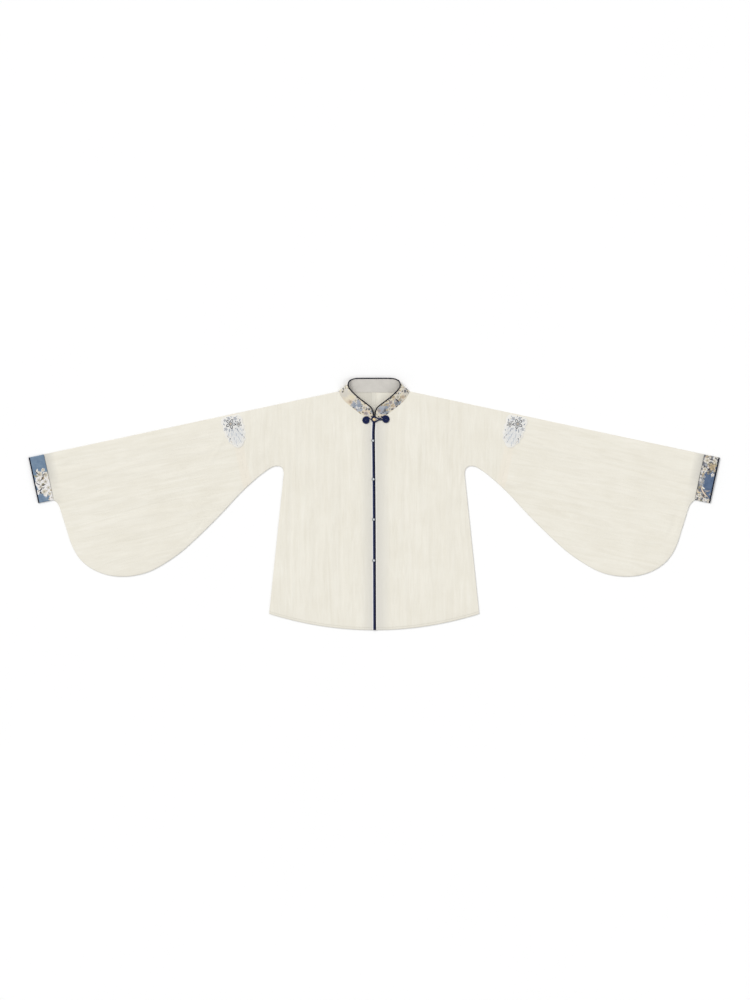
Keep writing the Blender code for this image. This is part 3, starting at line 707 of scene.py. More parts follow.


# The two bound edges are copies of one satin in painted light and shade: the wearer's right one
# lighter with a painted highlight, the left one deeper
lit_and_shaded_satins = {
    "left": satin("dark satin", BLACK_NAVY, NAVY),
    "right": satin("navy satin", NAVY, NAVY_LIGHT, BIAS, 0.8),
}
for word, side in SIDES.items():
    strip = bmesh.new()
    round_edge, along = BINDING_GRID
    bmesh.ops.create_grid(strip, x_segments=round_edge, y_segments=along, size=0.5)
    for vertex in strip.verts:
        turn = 2.0 * math.pi * vertex.co.x
        y = BINDING_ENDS[0] + (BINDING_ENDS[1] - BINDING_ENDS[0]) * (vertex.co.y + 0.5)
        corner = abs(math.cos(turn)) ** SQUARE_POWER + abs(math.sin(turn)) ** SQUARE_POWER
        squareness = corner ** (-1.0 / SQUARE_POWER)
        amount, pitch, seed = BINDING_WANDER
        wander = amount * noise.noise(Vector((side * seed, y / pitch, 0.0)))
        amount, pitch, seed = BINDING_PUFF
        puff = 1.0 + amount * noise.noise(Vector((side * seed, y / pitch, turn)))
        middle = side * (SEAM_GAP / 2 + BINDING_WIDTH / 2) + drift_at(y) + wander
        x = middle + BINDING_WIDTH / 2 * squareness * math.cos(turn)
        z = BINDING_BASE + BINDING_HEIGHT / 2 * (1.0 + squareness * puff * math.sin(turn))
        vertex.co = (x * MM, y * MM, z * MM)
    bmesh.ops.remove_doubles(strip, verts=strip.verts, dist=MERGE_DISTANCE)
    close_ends(strip)
    piece = finish_piece(f"bound_edge_{word}", strip, [lit_and_shaded_satins[word]], 0.0)
    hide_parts(f"front_binding_{word}")


# The two fronts, each cut in one with its sleeve root, gathered in by a facing along the bound
# edge and hemmed at the bottom. They lie over the backs with the creases of a folded garment.
PANEL_START = 3.9
PANEL_STEP = (3.4, 7.5)
SIDE_EDGE_TOP = 1.6
HEM_EDGE_TOP = 2.0
SEAM_DIP = 0.12
SEAM_TOP = 3.9
SEAM_BLEND = 12.0
NECK_TOP = 3.45
NECK_BLEND = 7.0
SEAM_DIP_WIDTH = 2.0
HEM_EDGE_WIDTH = 2.2
HEM_EDGE_SLOPE = 0.45
HEM_EDGE_RISE = 1.0
SMOOTHING = 16
QUIET_WIDTH = 9.0
CREASE_DEPTH = 1.6
STEEP_SIDE = 0.7
SOFT_SIDE = 1.2
ABOVE_ALL = 50.0
ABOVE_EDGE = 8.0
THREAD_RADIUS = 0.22
THREAD_ROUNDNESS = 1
THREAD_TWIST = 2600.0
THREAD_RELIEF = (0.6, 0.05)
THREAD_CREAM = (0.640, 0.610, 0.520)
THREAD_PALE = (0.820, 0.805, 0.760)
STITCH_PITCH = 3.0
STITCH_LENGTH = 2.1
FACING_STITCH_X = 5.6

# First and last place down the front of the stitches beside the bound edge, and their step
FACING_STITCH_ROWS = (214, -322, -6)

# How much nearer the bound edge the facing's tone and its painted shade end on each half
FACING_SHADE_SHIFT = {"left": 0.0, "right": 7.0}

# Rise of a stitch. Columns: share of its length, height
STITCH_PROFILE = ((0.0, -0.1), (0.3, 0.12), (0.7, 0.12), (1.0, -0.1))

# Waves of the washed cloth. Columns: pitch across and along the grain, height
RIPPLES = ((13.0, 70.0, 0.30), (7.0, 34.0, 0.15))

# Columns: x, y along the front neckline, from the bound edge to the neck point
FRONT_NECK = (
    (3.9, 222.6), (12.0, 224.0), (25.0, 228.0), (38.0, 235.5), (56.0, 250.0), (74.0, 264.6),
    (84.5, 277.0), (92.2, 292.5),
)

# Creases of each front. Columns: start x, y, end x, y, bow, crest, half width
FRONT_CREASES = {
    "left": (
        (47.6, 200.0, 44.0, -40.0, 3.0, 0.40, 6.0), (68.0, 215.0, 64.0, -120.0, -4.0, 0.45, 7.0),
        (92.0, 235.0, 90.0, 20.0, 3.0, 0.35, 6.0), (118.0, 240.0, 122.0, -60.0, 5.0, 0.50, 8.0),
        (140.0, 220.0, 146.0, 40.0, -3.0, 0.35, 6.0),
        (158.0, 200.0, 166.0, -90.0, 4.0, 0.45, 8.0),
        (30.0, 120.0, 28.0, -200.0, -2.0, 0.35, 6.0), (84.0, -40.0, 78.0, -290.0, 4.0, 0.50, 8.0),
        (108.0, -90.0, 116.0, -300.0, -4.0, -0.40, 8.0),
        (138.0, -30.0, 150.0, -240.0, 5.0, 0.45, 8.0),
        (182.0, -70.0, 196.0, -285.0, -4.0, 0.45, 8.0),
        (214.0, 60.0, 232.0, -150.0, 4.0, 0.50, 8.0),
        (246.0, -40.0, 258.0, -250.0, -3.0, 0.40, 7.0),
        (190.0, 235.0, 204.0, 90.0, 3.0, -0.45, 8.0),
        (228.0, 200.0, 232.0, 60.0, -4.0, 0.45, 7.0),
        (255.0, 225.0, 300.0, 130.0, 8.0, 0.50, 9.0),
        (296.0, 230.0, 350.0, 150.0, -6.0, 0.45, 8.0),
        (264.0, 128.0, 336.0, 84.0, 6.0, -0.45, 8.0), (222.0, 118.0, 240.0, 10.0, 5.0, 0.50, 7.0),
        (62.0, 250.0, 104.0, 190.0, 5.0, 0.40, 7.0), (50.0, -190.0, 44.0, -315.0, 2.0, 0.35, 6.0),
    ),
    "right": (
        (205.9, 250.0, 207.0, 36.0, 3.0, 0.45, 7.0), (186.4, 240.0, 190.0, 60.0, -4.0, 0.35, 6.0),
        (173.4, 250.0, 176.0, 40.0, 2.0, 0.50, 8.0), (153.9, 235.0, 158.0, 80.0, 3.0, 0.30, 6.0),
        (147.4, 180.0, 140.0, -40.0, -5.0, 0.45, 8.0),
        (215.6, 244.0, 222.0, -236.0, 4.0, -0.70, 9.0),
        (108.0, 166.0, 96.0, -16.0, 10.0, 0.55, 8.0), (56.0, 150.0, 60.0, -30.0, -8.0, 0.45, 7.0),
        (82.4, 120.0, 78.0, -120.0, 4.0, 0.40, 7.0), (30.0, 190.0, 26.0, -60.0, 2.0, 0.35, 6.0),
        (120.0, -20.0, 132.0, -270.0, -5.0, 0.50, 9.0),
        (92.0, -90.0, 84.0, -300.0, 4.0, -0.45, 8.0),
        (165.0, -60.0, 178.0, -285.0, 5.0, 0.45, 8.0),
        (200.0, -100.0, 214.0, -270.0, -3.0, 0.40, 7.0),
        (48.0, -130.0, 40.0, -310.0, -3.0, 0.40, 7.0),
        (240.0, 30.0, 252.0, -180.0, 2.0, 0.45, 7.0),
        (250.0, 215.0, 300.0, 120.0, 8.0, 0.50, 9.0),
        (290.0, 235.0, 345.0, 160.0, -6.0, 0.45, 8.0),
        (262.0, 130.0, 330.0, 90.0, 5.0, -0.45, 8.0), (225.0, 120.0, 236.0, 20.0, 5.0, 0.55, 7.0),
        (60.0, 245.0, 110.0, 180.0, 6.0, 0.40, 7.0),
    ),
}


def faces_of(*names):
    """Search trees of the faces of pieces, as they are now."""
    graph = bpy.context.evaluated_depsgraph_get()
    return [BVHTree.FromObject(bpy.data.objects[name], graph) for name in names]


def height_on(trees, x, y):
    """Height of the highest face at a place, or of the nearest edge beside it, in millimetres."""
    heights = []
    for tree in trees:
        hit = tree.ray_cast(Vector((x, y, ABOVE_ALL)) * MM, Vector((0.0, 0.0, -1.0)))[0]
        if hit is not None:
            heights.append(hit.z / MM)
    if not heights:
        above = Vector((x, y, ABOVE_EDGE)) * MM
        heights = [tree.find_nearest(above)[0].z / MM for tree in trees]
    return max(heights)


def crease_height(creases, x, y):
    """Height that the creases give a place: soft ridges, or troughs where the crest is negative."""
    height = 0.0
    for start_x, start_y, end_x, end_y, bow, crest, half_width in creases:
        along = Vector((end_x - start_x, end_y - start_y))
        offset = Vector((x - start_x, y - start_y))
        share = offset.dot(along) / along.length_squared
        if not 0.0 < share < 1.0:
            continue
        swell = math.sin(math.pi * share)
        across = offset.cross(along) / along.length - bow * swell
        reach = half_width * (STEEP_SIDE if across > 0.0 else SOFT_SIDE)
        if abs(across) < reach:
            height += crest * math.sqrt(swell) * (0.5 + 0.5 * math.cos(math.pi * across / reach))
    return CREASE_DEPTH * height


def ripple(x, y, seed):
    """Small uneven waves of washed cloth that run mostly along Y."""
    height = 0.0
    for index, (across, along, depth) in enumerate(RIPPLES):
        height += depth * noise.noise(Vector((x / across, y / along, seed + 7.0 * index)))
    return height


def smooth_heights(cloth, points, rounds):
    """Even out the heights of points and leave their places in plan."""
    for _ in range(rounds):
        bmesh.ops.smooth_vert(
            cloth, verts=points, factor=0.5, use_axis_x=False, use_axis_y=False, use_axis_z=True
        )


def at_seam(height, distance):
    """Height of a cloth near the sleeve seam, where both cloths come to one height."""
    height = SEAM_TOP + (height - SEAM_TOP) * ease(distance / SEAM_BLEND)
    return height - SEAM_DIP * (1.0 - ease(distance / SEAM_DIP_WIDTH))


def at_hem(height, distance):
    """Height of a cloth, led over into that of its hem, which is folded twice."""
    beyond = distance - HEM_EDGE_WIDTH
    crest = HEM_EDGE_RISE + EDGE_RISE * max(0.0, beyond) ** 2
    cap = HEM_EDGE_TOP + min(HEM_EDGE_SLOPE * distance, crest)
    return cap + (height - cap) * ease(beyond / EDGE_BLEND)


def even_line(line, step):
    """Points along a line at even distances, with its first point."""
    line = [Vector(point) for point in line]
    points = [line[0].copy()]
    walked = 0.0
    for start, end in zip(line, line[1:]):
        stretch = (end - start).length
        while walked + stretch >= step * len(points):
            points.append(start.lerp(end, (step * len(points) - walked) / stretch))
        walked += stretch
    return points


def cord(name, paths, radius, roundness, material):
    """Round cords along paths in millimetres, with closed ends, riding on the jacket."""
    curve = bpy.data.curves.new(name, "CURVE")
    curve.dimensions = "3D"
    curve.bevel_depth = radius * MM
    curve.bevel_resolution = roundness
    curve.use_fill_caps = True
    for path in paths:
        spline = curve.splines.new("POLY")
        spline.points.add(len(path) - 1)
        for control, point in zip(spline.points, path):
            control.co = (*(point * MM), 1.0)
    curve.materials.append(material)
    piece = add_object(name, curve)
    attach(piece, "root")
    return piece


def sew(name, line, ground, colour):
    """A row of short stitches along a line in plan, lying on a surface."""
    material, tree, shader = new_material(name)
    twist = clouds(tree, object_place(tree), THREAD_TWIST, 2.0)
    fill_inputs(tree, shader, {
        "Base Color": mix_colours(tree, twist, times(colour, 0.8), colour),
        "Roughness": 0.6,
        "Normal": relief(tree, twist, *THREAD_RELIEF),
    })
    stitches = []
    marks = even_line(line, STITCH_PITCH)
    for start, following in zip(marks, marks[1:]):
        end = start.lerp(following, STITCH_LENGTH / STITCH_PITCH)
        stitch = []
        for share, lift in STITCH_PROFILE:
            x, y = start.lerp(end, share)
            stitch.append(Vector((x, y, height_on(ground, x, y) + lift)))
        stitches.append(stitch)
    return cord(name, stitches, THREAD_RADIUS, THREAD_ROUNDNESS, material)


for word, side in SIDES.items():
    edges = panel_edges(smooth_line(FRONT_NECK, CURVE_STEPS), PANEL_START)
    outline = [point for line in edges.values() for point in line[:-1]]
    cloth = cut_cloth([(side * x, y) for x, y in outline], EDGE_BANDS, PANEL_STEP)
    cut_area = sum(face.calc_area() for face in cloth.faces)
    border = near(outline + outline[:1])
    lines = {name: near(line) for name, line in edges.items()}
    keep_distances(
        cloth,
        edge=lambda x, y: away(border, side * x, y),
        hem=lambda x, y: away(lines["hem"], side * x, y),
        opening=lambda x, y: away(lines["opening"], side * x, y) + FACING_SHADE_SHIFT[word],
        binding=lambda x, y: away(lines["opening"], side * x, y),
        seam=lambda x, y: away(lines["sleeve seam"], side * x, y),
    )
    plan = {vertex: (side * vertex.co.x / MM, vertex.co.y / MM) for vertex in cloth.verts}
    under = faces_of(f"front_{word}")
    for vertex, (x, y) in plan.items():
        share = min(1.0, (x - PANEL_START) / (CHEST[0] - PANEL_START))
        vertex.co.x += drift_at(y) * (1.0 - share) ** 2 * MM
        vertex.co.z = height_on(under, vertex.co.x / MM, y) * MM
    smooth_heights(cloth, cloth.verts[:], SMOOTHING)
    for vertex, (x, y) in plan.items():
        distance = {name: away(tree, x, y) for name, tree in lines.items()}
        detail = crease_height(FRONT_CREASES[word], x, y) + ripple(side * x, y, 2.0)
        height = vertex.co.z / MM + detail * ease(away(border, x, y) / QUIET_WIDTH)
        height = at_seam(height, distance["sleeve seam"])
        rolled = min(distance["shoulder"], distance["armpit"], distance["side"])
        height = at_hem(at_fold(height, SIDE_EDGE_TOP, rolled), distance["hem"])
        height = NECK_TOP + (height - NECK_TOP) * ease(distance["neck"] / NECK_BLEND)
        height = min(height, edge_cap(SIDE_EDGE_TOP, rolled))
        vertex.co.z = height * MM
    ground = [BVHTree.FromBMesh(cloth)]
    hem_stitches = [Vector((side * x, y + HEM_STITCH_INSET)) for x, y in edges["hem"][1:]]
    facing_stitches = [
        Vector((side * FACING_STITCH_X + drift_at(y), y)) for y in range(*FACING_STITCH_ROWS)
    ]
    hem_thread = sew(f"stitches_hem_{word}", hem_stitches, ground, THREAD_CREAM)
    facing_thread = sew(f"stitches_facing_{word}", facing_stitches, ground, THREAD_PALE)
    piece = finish_piece(f"cloth_front_{word}", cloth, [body_gauze, shaded_inside_gauze[word]])
    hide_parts(f"front_{word}")


# The outer sleeves: each a tube of the same gauze, folded along the top, which widens to a
# deep curve below and narrows to the cuff. A flat felled seam joins it to the sleeve root.
CUFF_SEAM = 878.2
CUFF_DEPTH = 121.0
SLEEVE_RADIUS = 1.6
SLEEVE_COLUMNS = (72, 26)
SLEEVE_RING_STEPS = 5
SEWN_GAP = 0.05
END_RING = 0.3
FOLD_TURNS = (-60.0, -30.0, 0.0, 30.0, 60.0)
DOWN = (sleeve_point(0.0, 1.0) - sleeve_point(0.0, 0.0)).normalized()

# Columns: place along the sleeve's top fold, x and y of the lower edge. One row a ring.
SLEEVE_RINGS = (
    (392.0, 356.0, 20.0), (412.0, 390.0, -17.0), (434.0, 427.0, -55.0), (460.0, 466.0, -92.7),
    (488.0, 505.0, -127.0), (517.0, 544.0, -154.0), (547.0, 583.0, -175.0),
    (578.0, 622.0, -186.0), (610.0, 661.0, -188.8), (643.0, 700.0, -183.0),
    (676.0, 737.0, -166.8), (709.0, 766.0, -142.0), (742.0, 786.0, -107.5), (773.0, 799.5, -66.0),
    (802.0, 810.0, -33.0), (828.0, 817.5, -9.5), (852.0, 824.5, 3.0),
)

# Creases of each sleeve. Columns: start x, y, end x, y, bow, crest, half width
SLEEVE_CREASES = {
    "left": (
        (652.0, 160.0, 685.0, 121.0, 3.0, 0.45, 7.0), (561.0, 43.0, 652.0, -16.0, 6.0, 0.60, 9.0),
        (620.0, 10.0, 698.0, -42.0, -5.0, 0.55, 8.0),
        (665.0, -68.0, 743.0, -107.0, 4.0, 0.60, 9.0),
        (652.0, -126.0, 711.0, -165.0, 4.0, 0.50, 8.0),
        (457.0, 56.0, 522.0, 62.0, -3.0, 0.45, 7.0), (652.0, 75.0, 730.0, 69.0, 4.0, 0.45, 8.0),
        (782.0, -20.0, 760.0, -90.0, -6.0, -0.70, 12.0),
        (400.0, 170.0, 560.0, 120.0, 8.0, 0.60, 10.0),
        (410.0, 110.0, 600.0, 10.0, 10.0, 0.70, 11.0),
        (420.0, 20.0, 560.0, -90.0, -8.0, 0.60, 10.0),
        (450.0, -30.0, 560.0, -130.0, 6.0, 0.45, 8.0),
        (540.0, 150.0, 680.0, 95.0, -5.0, 0.45, 8.0),
        (600.0, -40.0, 690.0, -100.0, 5.0, 0.50, 8.0),
        (580.0, -110.0, 660.0, -160.0, -4.0, 0.40, 7.0),
        (700.0, 120.0, 820.0, 85.0, 5.0, 0.50, 8.0), (720.0, 30.0, 800.0, -10.0, 4.0, 0.50, 8.0),
        (790.0, 60.0, 845.0, 50.0, -3.0, 0.45, 7.0), (388.0, 190.0, 440.0, 90.0, 5.0, 0.50, 8.0),
        (846.0, 116.0, 828.0, 40.0, 2.0, -0.60, 10.0),
    ),
    "right": (
        (680.0, 69.0, 531.0, 95.0, 6.0, 0.60, 9.0), (752.0, 69.0, 557.0, 134.0, -8.0, 0.70, 10.0),
        (823.0, 95.0, 758.0, 101.0, 3.0, -0.60, 8.0), (752.0, 10.0, 648.0, 23.0, 5.0, 0.50, 8.0),
        (641.0, 23.0, 557.0, 10.0, -5.0, 0.50, 8.0),
        (693.0, -48.0, 466.0, -16.0, 9.0, 0.70, 11.0),
        (648.0, -68.0, 492.0, -48.0, -5.0, 0.45, 8.0),
        (706.0, -107.0, 557.0, -68.0, 7.0, 0.60, 10.0),
        (693.0, -152.0, 596.0, -126.0, 4.0, 0.50, 8.0),
        (400.0, 150.0, 520.0, 128.0, 5.0, 0.50, 9.0),
        (405.0, 90.0, 560.0, 60.0, -6.0, 0.60, 10.0), (410.0, 20.0, 500.0, -20.0, 6.0, 0.45, 8.0),
        (520.0, 165.0, 640.0, 140.0, 4.0, 0.40, 8.0),
        (600.0, 110.0, 720.0, 120.0, -5.0, 0.40, 8.0), (760.0, 40.0, 840.0, 50.0, 4.0, 0.50, 8.0),
        (790.0, 0.0, 845.0, 20.0, 3.0, 0.40, 6.0), (560.0, -120.0, 640.0, -165.0, 5.0, 0.45, 8.0),
        (440.0, -40.0, 500.0, -100.0, 4.0, -0.50, 9.0),
        (385.0, 195.0, 430.0, 100.0, 5.0, 0.50, 8.0),
        (845.0, 120.0, 832.0, 58.0, 3.0, -0.80, 11.0),
    ),
}


def fold_turn(edge, inward, radius, turns):
    """Cloth turned round a folded edge. Turns are angles above the middle, in degrees."""
    arc = []
    for turn in turns:
        place = edge + inward * radius * (1.0 - math.cos(math.radians(turn)))
        arc.append(Vector((place.x, place.y, radius * (1.0 + math.sin(math.radians(turn))))))
    return arc


def flat_ring(upper, lower, lower_inward, radius, columns):
    """One ring of a flattened tube: over its upper layer, round the lower edge and back under."""
    start = upper + DOWN * radius
    end = lower + lower_inward * radius
    over, under = columns
    ring = [start.lerp(end, index / over).to_3d() for index in range(over + 1)]
    for point in ring:
        point.z = 2.0 * radius
    ring += fold_turn(lower, lower_inward, radius, reversed(FOLD_TURNS))
    ring += [end.lerp(start, index / under).to_3d() for index in range(under + 1)]
    return ring + fold_turn(upper, DOWN, radius, FOLD_TURNS)


def lay_tube(rings, over, side):
    """A flattened tube through its rings, with the points of its upper layer selected.

    Its UV map is the distance round from the top fold and the distance along, in metres.
    """
    count = len(rings[0])
    tube = bmesh.new()
    bmesh.ops.create_grid(tube, x_segments=count, y_segments=len(rings) - 1, size=0.5)
    laid = tube.loops.layers.uv.new("laid")
    girths = []
    for ring in rings:
        girth = [0.0]
        for start, end in zip(ring, ring[1:] + ring[:1]):
            girth.append(girth[-1] + (end - start).length)
        girths.append(girth)
    places = {}
    for vertex in tube.verts:
        row = round((vertex.co.y + 0.5) * (len(rings) - 1))
        places[vertex] = (row, round((vertex.co.x + 0.5) * count))
    for face in tube.faces:
        for loop in face.loops:
            row, column = places[loop.vert]
            along = (rings[row][0] - rings[0][0]).length
            loop[laid].uv = (girths[row][column] * MM, along * MM)
    for vertex, (row, column) in places.items():
        x, y, z = rings[row][column % count]
        vertex.co = (side * x * MM, y * MM, z * MM)
        vertex.select = 0 < column < over
    bmesh.ops.remove_doubles(tube, verts=tube.verts, dist=MERGE_DISTANCE)
    bmesh.ops.recalc_face_normals(tube, faces=tube.faces)
    return tube


def tangent_at(points, index):
    """Way that a line runs at one of its points."""
    return points[min(index + 1, len(points) - 1)] - points[max(index - 1, 0)]


def sleeve_rings():
    """Rings of the sleeve from its seam to the cuff, with one close to each end."""
    first = sleeve_point(SLEEVE_SEAM + SEWN_GAP, SEAM_DEPTH)
    last = sleeve_point(CUFF_SEAM, CUFF_DEPTH)
    rows = [(SLEEVE_SEAM + SEWN_GAP, *first), *SLEEVE_RINGS, (CUFF_SEAM, *last)]
    rows = smooth_line(rows, SLEEVE_RING_STEPS)
    rows.insert(1, rows[0].lerp(rows[1], END_RING))
    rows.insert(-1, rows[-1].lerp(rows[-2], END_RING))
    rings = []
    for index, row in enumerate(rows):
        tangent = tangent_at(rows, index).yz
        inward = Vector((-tangent.y, tangent.x)).normalized()
        if index in (0, len(rows) - 1):
            inward = -DOWN
        ring = flat_ring(sleeve_point(row.x, 0.0), row.yz, inward, SLEEVE_RADIUS, SLEEVE_COLUMNS)
        rings.append(ring)
    return rings, rows


rings, rows = sleeve_rings()
lower_edge = [row.yz for row in rows]
top_fold = [sleeve_point(row.x, 0.0) for row in rows]
for word, side in SIDES.items():
    tube = lay_tube(rings, SLEEVE_COLUMNS[0], side)
    cut_area = sum(face.calc_area() for face in tube.faces)
    border = near(lower_edge + top_fold[::-1])
    seam = near([top_fold[0], lower_edge[0]])
    cuff_seam = near([top_fold[-1], lower_edge[-1]])
    keep_distances(
        tube,
        edge=lambda x, y: min(away(border, side * x, y), away(cuff_seam, side * x, y)),
        seam=lambda x, y: away(seam, side * x, y),
        cuff=lambda x, y: away(cuff_seam, side * x, y),
    )
    under = faces_of(f"sleeve_{word}")
    upper = [vertex for vertex in tube.verts if vertex.select]
    for vertex in upper:
        vertex.co.z = height_on(under, vertex.co.x / MM, vertex.co.y / MM) * MM
    smooth_heights(tube, upper, SMOOTHING)
    for vertex in upper:
        x = side * vertex.co.x / MM
        y = vertex.co.y / MM
        ends = min(away(seam, x, y), away(cuff_seam, x, y))
        detail = crease_height(SLEEVE_CREASES[word], x, y) + ripple(y, side * x, 5.0)
        detail *= ease(min(away(border, x, y), ends) / QUIET_WIDTH)
        height = at_seam(vertex.co.z / MM + detail, away(seam, x, y))
        vertex.co.z = at_fold(height, SLEEVE_RADIUS, away(border, x, y)) * MM
    grain = gauze(f"sleeve gauze, {word}", 90.0 + side * math.degrees(SHOULDER_SLOPE))
    piece = finish_piece(f"cloth_sleeve_{word}", tube, [grain])
    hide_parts(f"sleeve_{word}")


# The cuffs: a band of slate blue cotton printed with large pale flowers, sewn on as a tube,
# with its end bound in navy satin. Left and right are cut from different parts of the print.
CUFF_WIDTH = 36.8
CUFF_BINDING_WIDTH = 3.3
CUFF_BINDING_GAP = 0.1
CUFF_RADIUS = 2.2
CUFF_PUFF = 0.8
CUFF_COLUMNS = (44, 22)
CUFF_CLOTH = 1.0
CUFF_BINDING_CLOTH = 1.6
CUFF_GIRTH = 252.0 * MM
CUFF_STEPS = 16
CUFF_BINDING_STEPS = 5
CUFF_FLATTENED = 0.80
COTTON_PITCH = 0.42 * MM
COTTON_ROUGH = (0.20, 0.62)
COTTON_RELIEF = (0.8, 0.3)
COTTON_SPECULAR = 0.3
CUFF_THREADS = 0.14
CUFF_SCATTER = 150.0
LEAF_WIDTH = 0.42
PETAL = (0.700, 0.670, 0.600)
DARK = (0.045, 0.040, 0.050)
PRINT_TONES = {
    "cream": PETAL,
    "white": (0.790, 0.775, 0.765),
    "tan": (0.540, 0.440, 0.290),
    "ice": (0.400, 0.420, 0.455),
    "olive": (0.310, 0.290, 0.190),
    "blue": (0.255, 0.290, 0.350),
    "mauve": (0.430, 0.385, 0.400),
    "peach": (0.660, 0.545, 0.430),
    "slate": (0.130, 0.135, 0.150),
    "dark": DARK,
}
PETAL_SHADE = (0.651, 0.589, 0.496)
PRINTED_PETALS = 5
PRINTED_STAMENS = 9.0
SCATTERED_SIZE = 1.9

# Wave of the cuff's upper layer: height, and pitches across and along the jacket. It grows from
# the top fold, and is full at one part in this many of the cuff's depth.
CUFF_WAVE = (0.18, 16.0, 11.0)
CUFF_WAVE_START = 9.0

# Rim of a printed flower, as shares of its size: the least, how much more at a petal's middle,
# the power that rounds a petal, its notch, and how uneven it is. Then its ring of stamens, as
# place and half width
FLOWER_RIM = (0.37, 0.40, 0.55, 0.06, 0.30)
FLOWER_RING = (0.30, 0.09)

# Tone of a pale vein: how many times its leaf's tone, and what is added
VEIN_TONE = (1.5, 0.03)

# Strength of the pale vein of a leaf and of a twig, which is narrower than a share of its length
LEAF_VEIN = 0.6
TWIG_VEIN = 0.12
TWIG_WIDEST = 0.3

# Deep and light tone of each cuff's ground
CUFF_GROUNDS = {
    "left": ((0.068, 0.108, 0.190), (0.098, 0.148, 0.245)),
    "right": ((0.122, 0.188, 0.280), (0.165, 0.240, 0.335)),
}

# Parts of each cuff filled with a close small print. Columns: distance below the top fold and
# from the seam to the part's middle, half width down and across
CUFF_FILLED = {
    "left": (
        (16.0, 18.0, 34.0, 30.0), (112.0, 12.0, 19.0, 30.0), (66.0, 0.0, 34.0, 14.0),
    ),
    "right": (
        (72.0, 14.0, 33.0, 27.0), (112.0, 2.0, 14.0, 9.0),
    ),
}

# Tone of the ground in those parts, tones of its small flowers, and how many cells have one
FILLINGS = {
    "left": ("slate", ("cream", "tan", "white", "cream", "ice", "olive", "peach"), 1.0),
    "right": ("white", ("white", "cream", "tan"), 0.30),
}

# Printed motifs of each cuff, mirrored on the hidden side. Columns: distance below the top fold
# and from the seam, radius or half length, turn in degrees, tone
CUFF_FLOWERS = {
    "left": (
        (12.0, 10.0, 9.0, 20.0, "cream"), (26.0, 26.0, 10.0, 65.0, "tan"),
        (36.0, 9.0, 7.0, 110.0, "cream"), (10.0, 29.0, 7.0, 5.0, "cream"),
        (46.0, 31.0, 5.0, 40.0, "white"), (60.0, 5.0, 4.5, 10.0, "ice"),
        (66.0, 10.0, 4.5, 50.0, "ice"), (72.0, 4.0, 4.5, 80.0, "ice"),
        (78.0, 9.0, 4.5, 20.0, "ice"), (55.0, 11.0, 4.0, 30.0, "ice"),
        (72.0, 12.0, 3.5, 0.0, "blue"), (66.0, 3.0, 3.5, 60.0, "white"),
        (106.0, 9.0, 7.0, 15.0, "cream"), (114.0, 24.0, 6.0, 70.0, "white"),
        (113.0, 33.0, 5.0, 20.0, "cream"),
    ),
    "right": (
        (46.0, 21.0, 9.0, 20.0, "cream"), (51.0, 6.0, 9.0, 60.0, "cream"),
        (61.0, 26.0, 10.0, 100.0, "white"), (68.0, 10.0, 10.0, 10.0, "white"),
        (79.0, 25.0, 10.0, 50.0, "white"), (85.0, 6.0, 9.0, 140.0, "white"),
        (93.0, 19.0, 8.0, 80.0, "cream"), (89.0, 33.0, 5.0, 0.0, "white"),
        (37.0, 10.0, 5.5, 30.0, "cream"), (58.0, 15.0, 5.0, 70.0, "tan"),
        (74.0, 18.0, 4.5, 0.0, "olive"), (101.0, 6.0, 6.0, 45.0, "cream"),
        (112.0, 3.0, 5.0, 10.0, "white"),
    ),
}
CUFF_LEAVES = {
    "left": (
        (20.0, 13.0, 6.0, 60.0, "olive"), (33.0, 19.0, 6.0, 150.0, "dark"),
        (18.0, 34.0, 5.0, 30.0, "olive"), (98.0, 6.0, 6.0, 100.0, "tan"),
        (84.0, 14.0, 6.0, 60.0, "cream"), (104.0, 20.0, 5.0, 20.0, "dark"),
    ),
    "right": (
        (50.0, 32.0, 6.0, 120.0, "olive"), (64.0, 4.0, 5.0, 60.0, "tan"),
        (82.0, 18.0, 5.0, 30.0, "dark"), (94.0, 28.0, 5.0, 150.0, "dark"),
        (36.0, 26.0, 6.0, 35.0, "cream"), (101.0, 18.0, 5.0, 70.0, "cream"),
    ),
}

# Twigs and strokes over the flowers and leaves. A last column is their width, as a share of
# their length.
CUFF_TWIGS = {
    "left": (
        (95.0, 17.0, 23.0, 44.0, "dark", 0.17), (95.0, 17.0, 22.0, 44.0, "peach", 0.12),
        (90.0, 26.0, 9.0, 100.0, "peach", 0.12), (24.0, 18.0, 18.0, 20.0, "dark", 0.05),
        (20.0, 24.0, 8.0, 150.0, "dark", 0.10), (28.0, 6.0, 6.0, 30.0, "dark", 0.20),
        (40.0, 22.0, 10.0, 120.0, "dark", 0.14), (8.0, 20.0, 8.0, 80.0, "dark", 0.18),
        (110.0, 14.0, 6.0, 140.0, "dark", 0.12), (30.0, 31.0, 6.0, 60.0, "dark", 0.12),
    ),
    "right": (
        (42.0, 27.0, 13.0, 150.0, "dark", 0.11), (58.0, 16.0, 11.0, 40.0, "dark", 0.17),
        (86.0, 26.0, 9.0, 60.0, "dark", 0.20), (92.0, 13.0, 7.0, 120.0, "tan", 0.12),
        (66.0, 24.0, 6.0, 20.0, "olive", 0.14), (76.0, 17.0, 7.0, 90.0, "dark", 0.24),
        (70.0, 31.0, 9.0, 130.0, "dark", 0.15), (49.0, 11.0, 7.0, 75.0, "dark", 0.17),
    ),
}


def length_of(tree, vector):
    """Length of a vector."""
    return add_node(tree, "VectorMath", {0: vector}, operation="LENGTH").outputs["Value"]


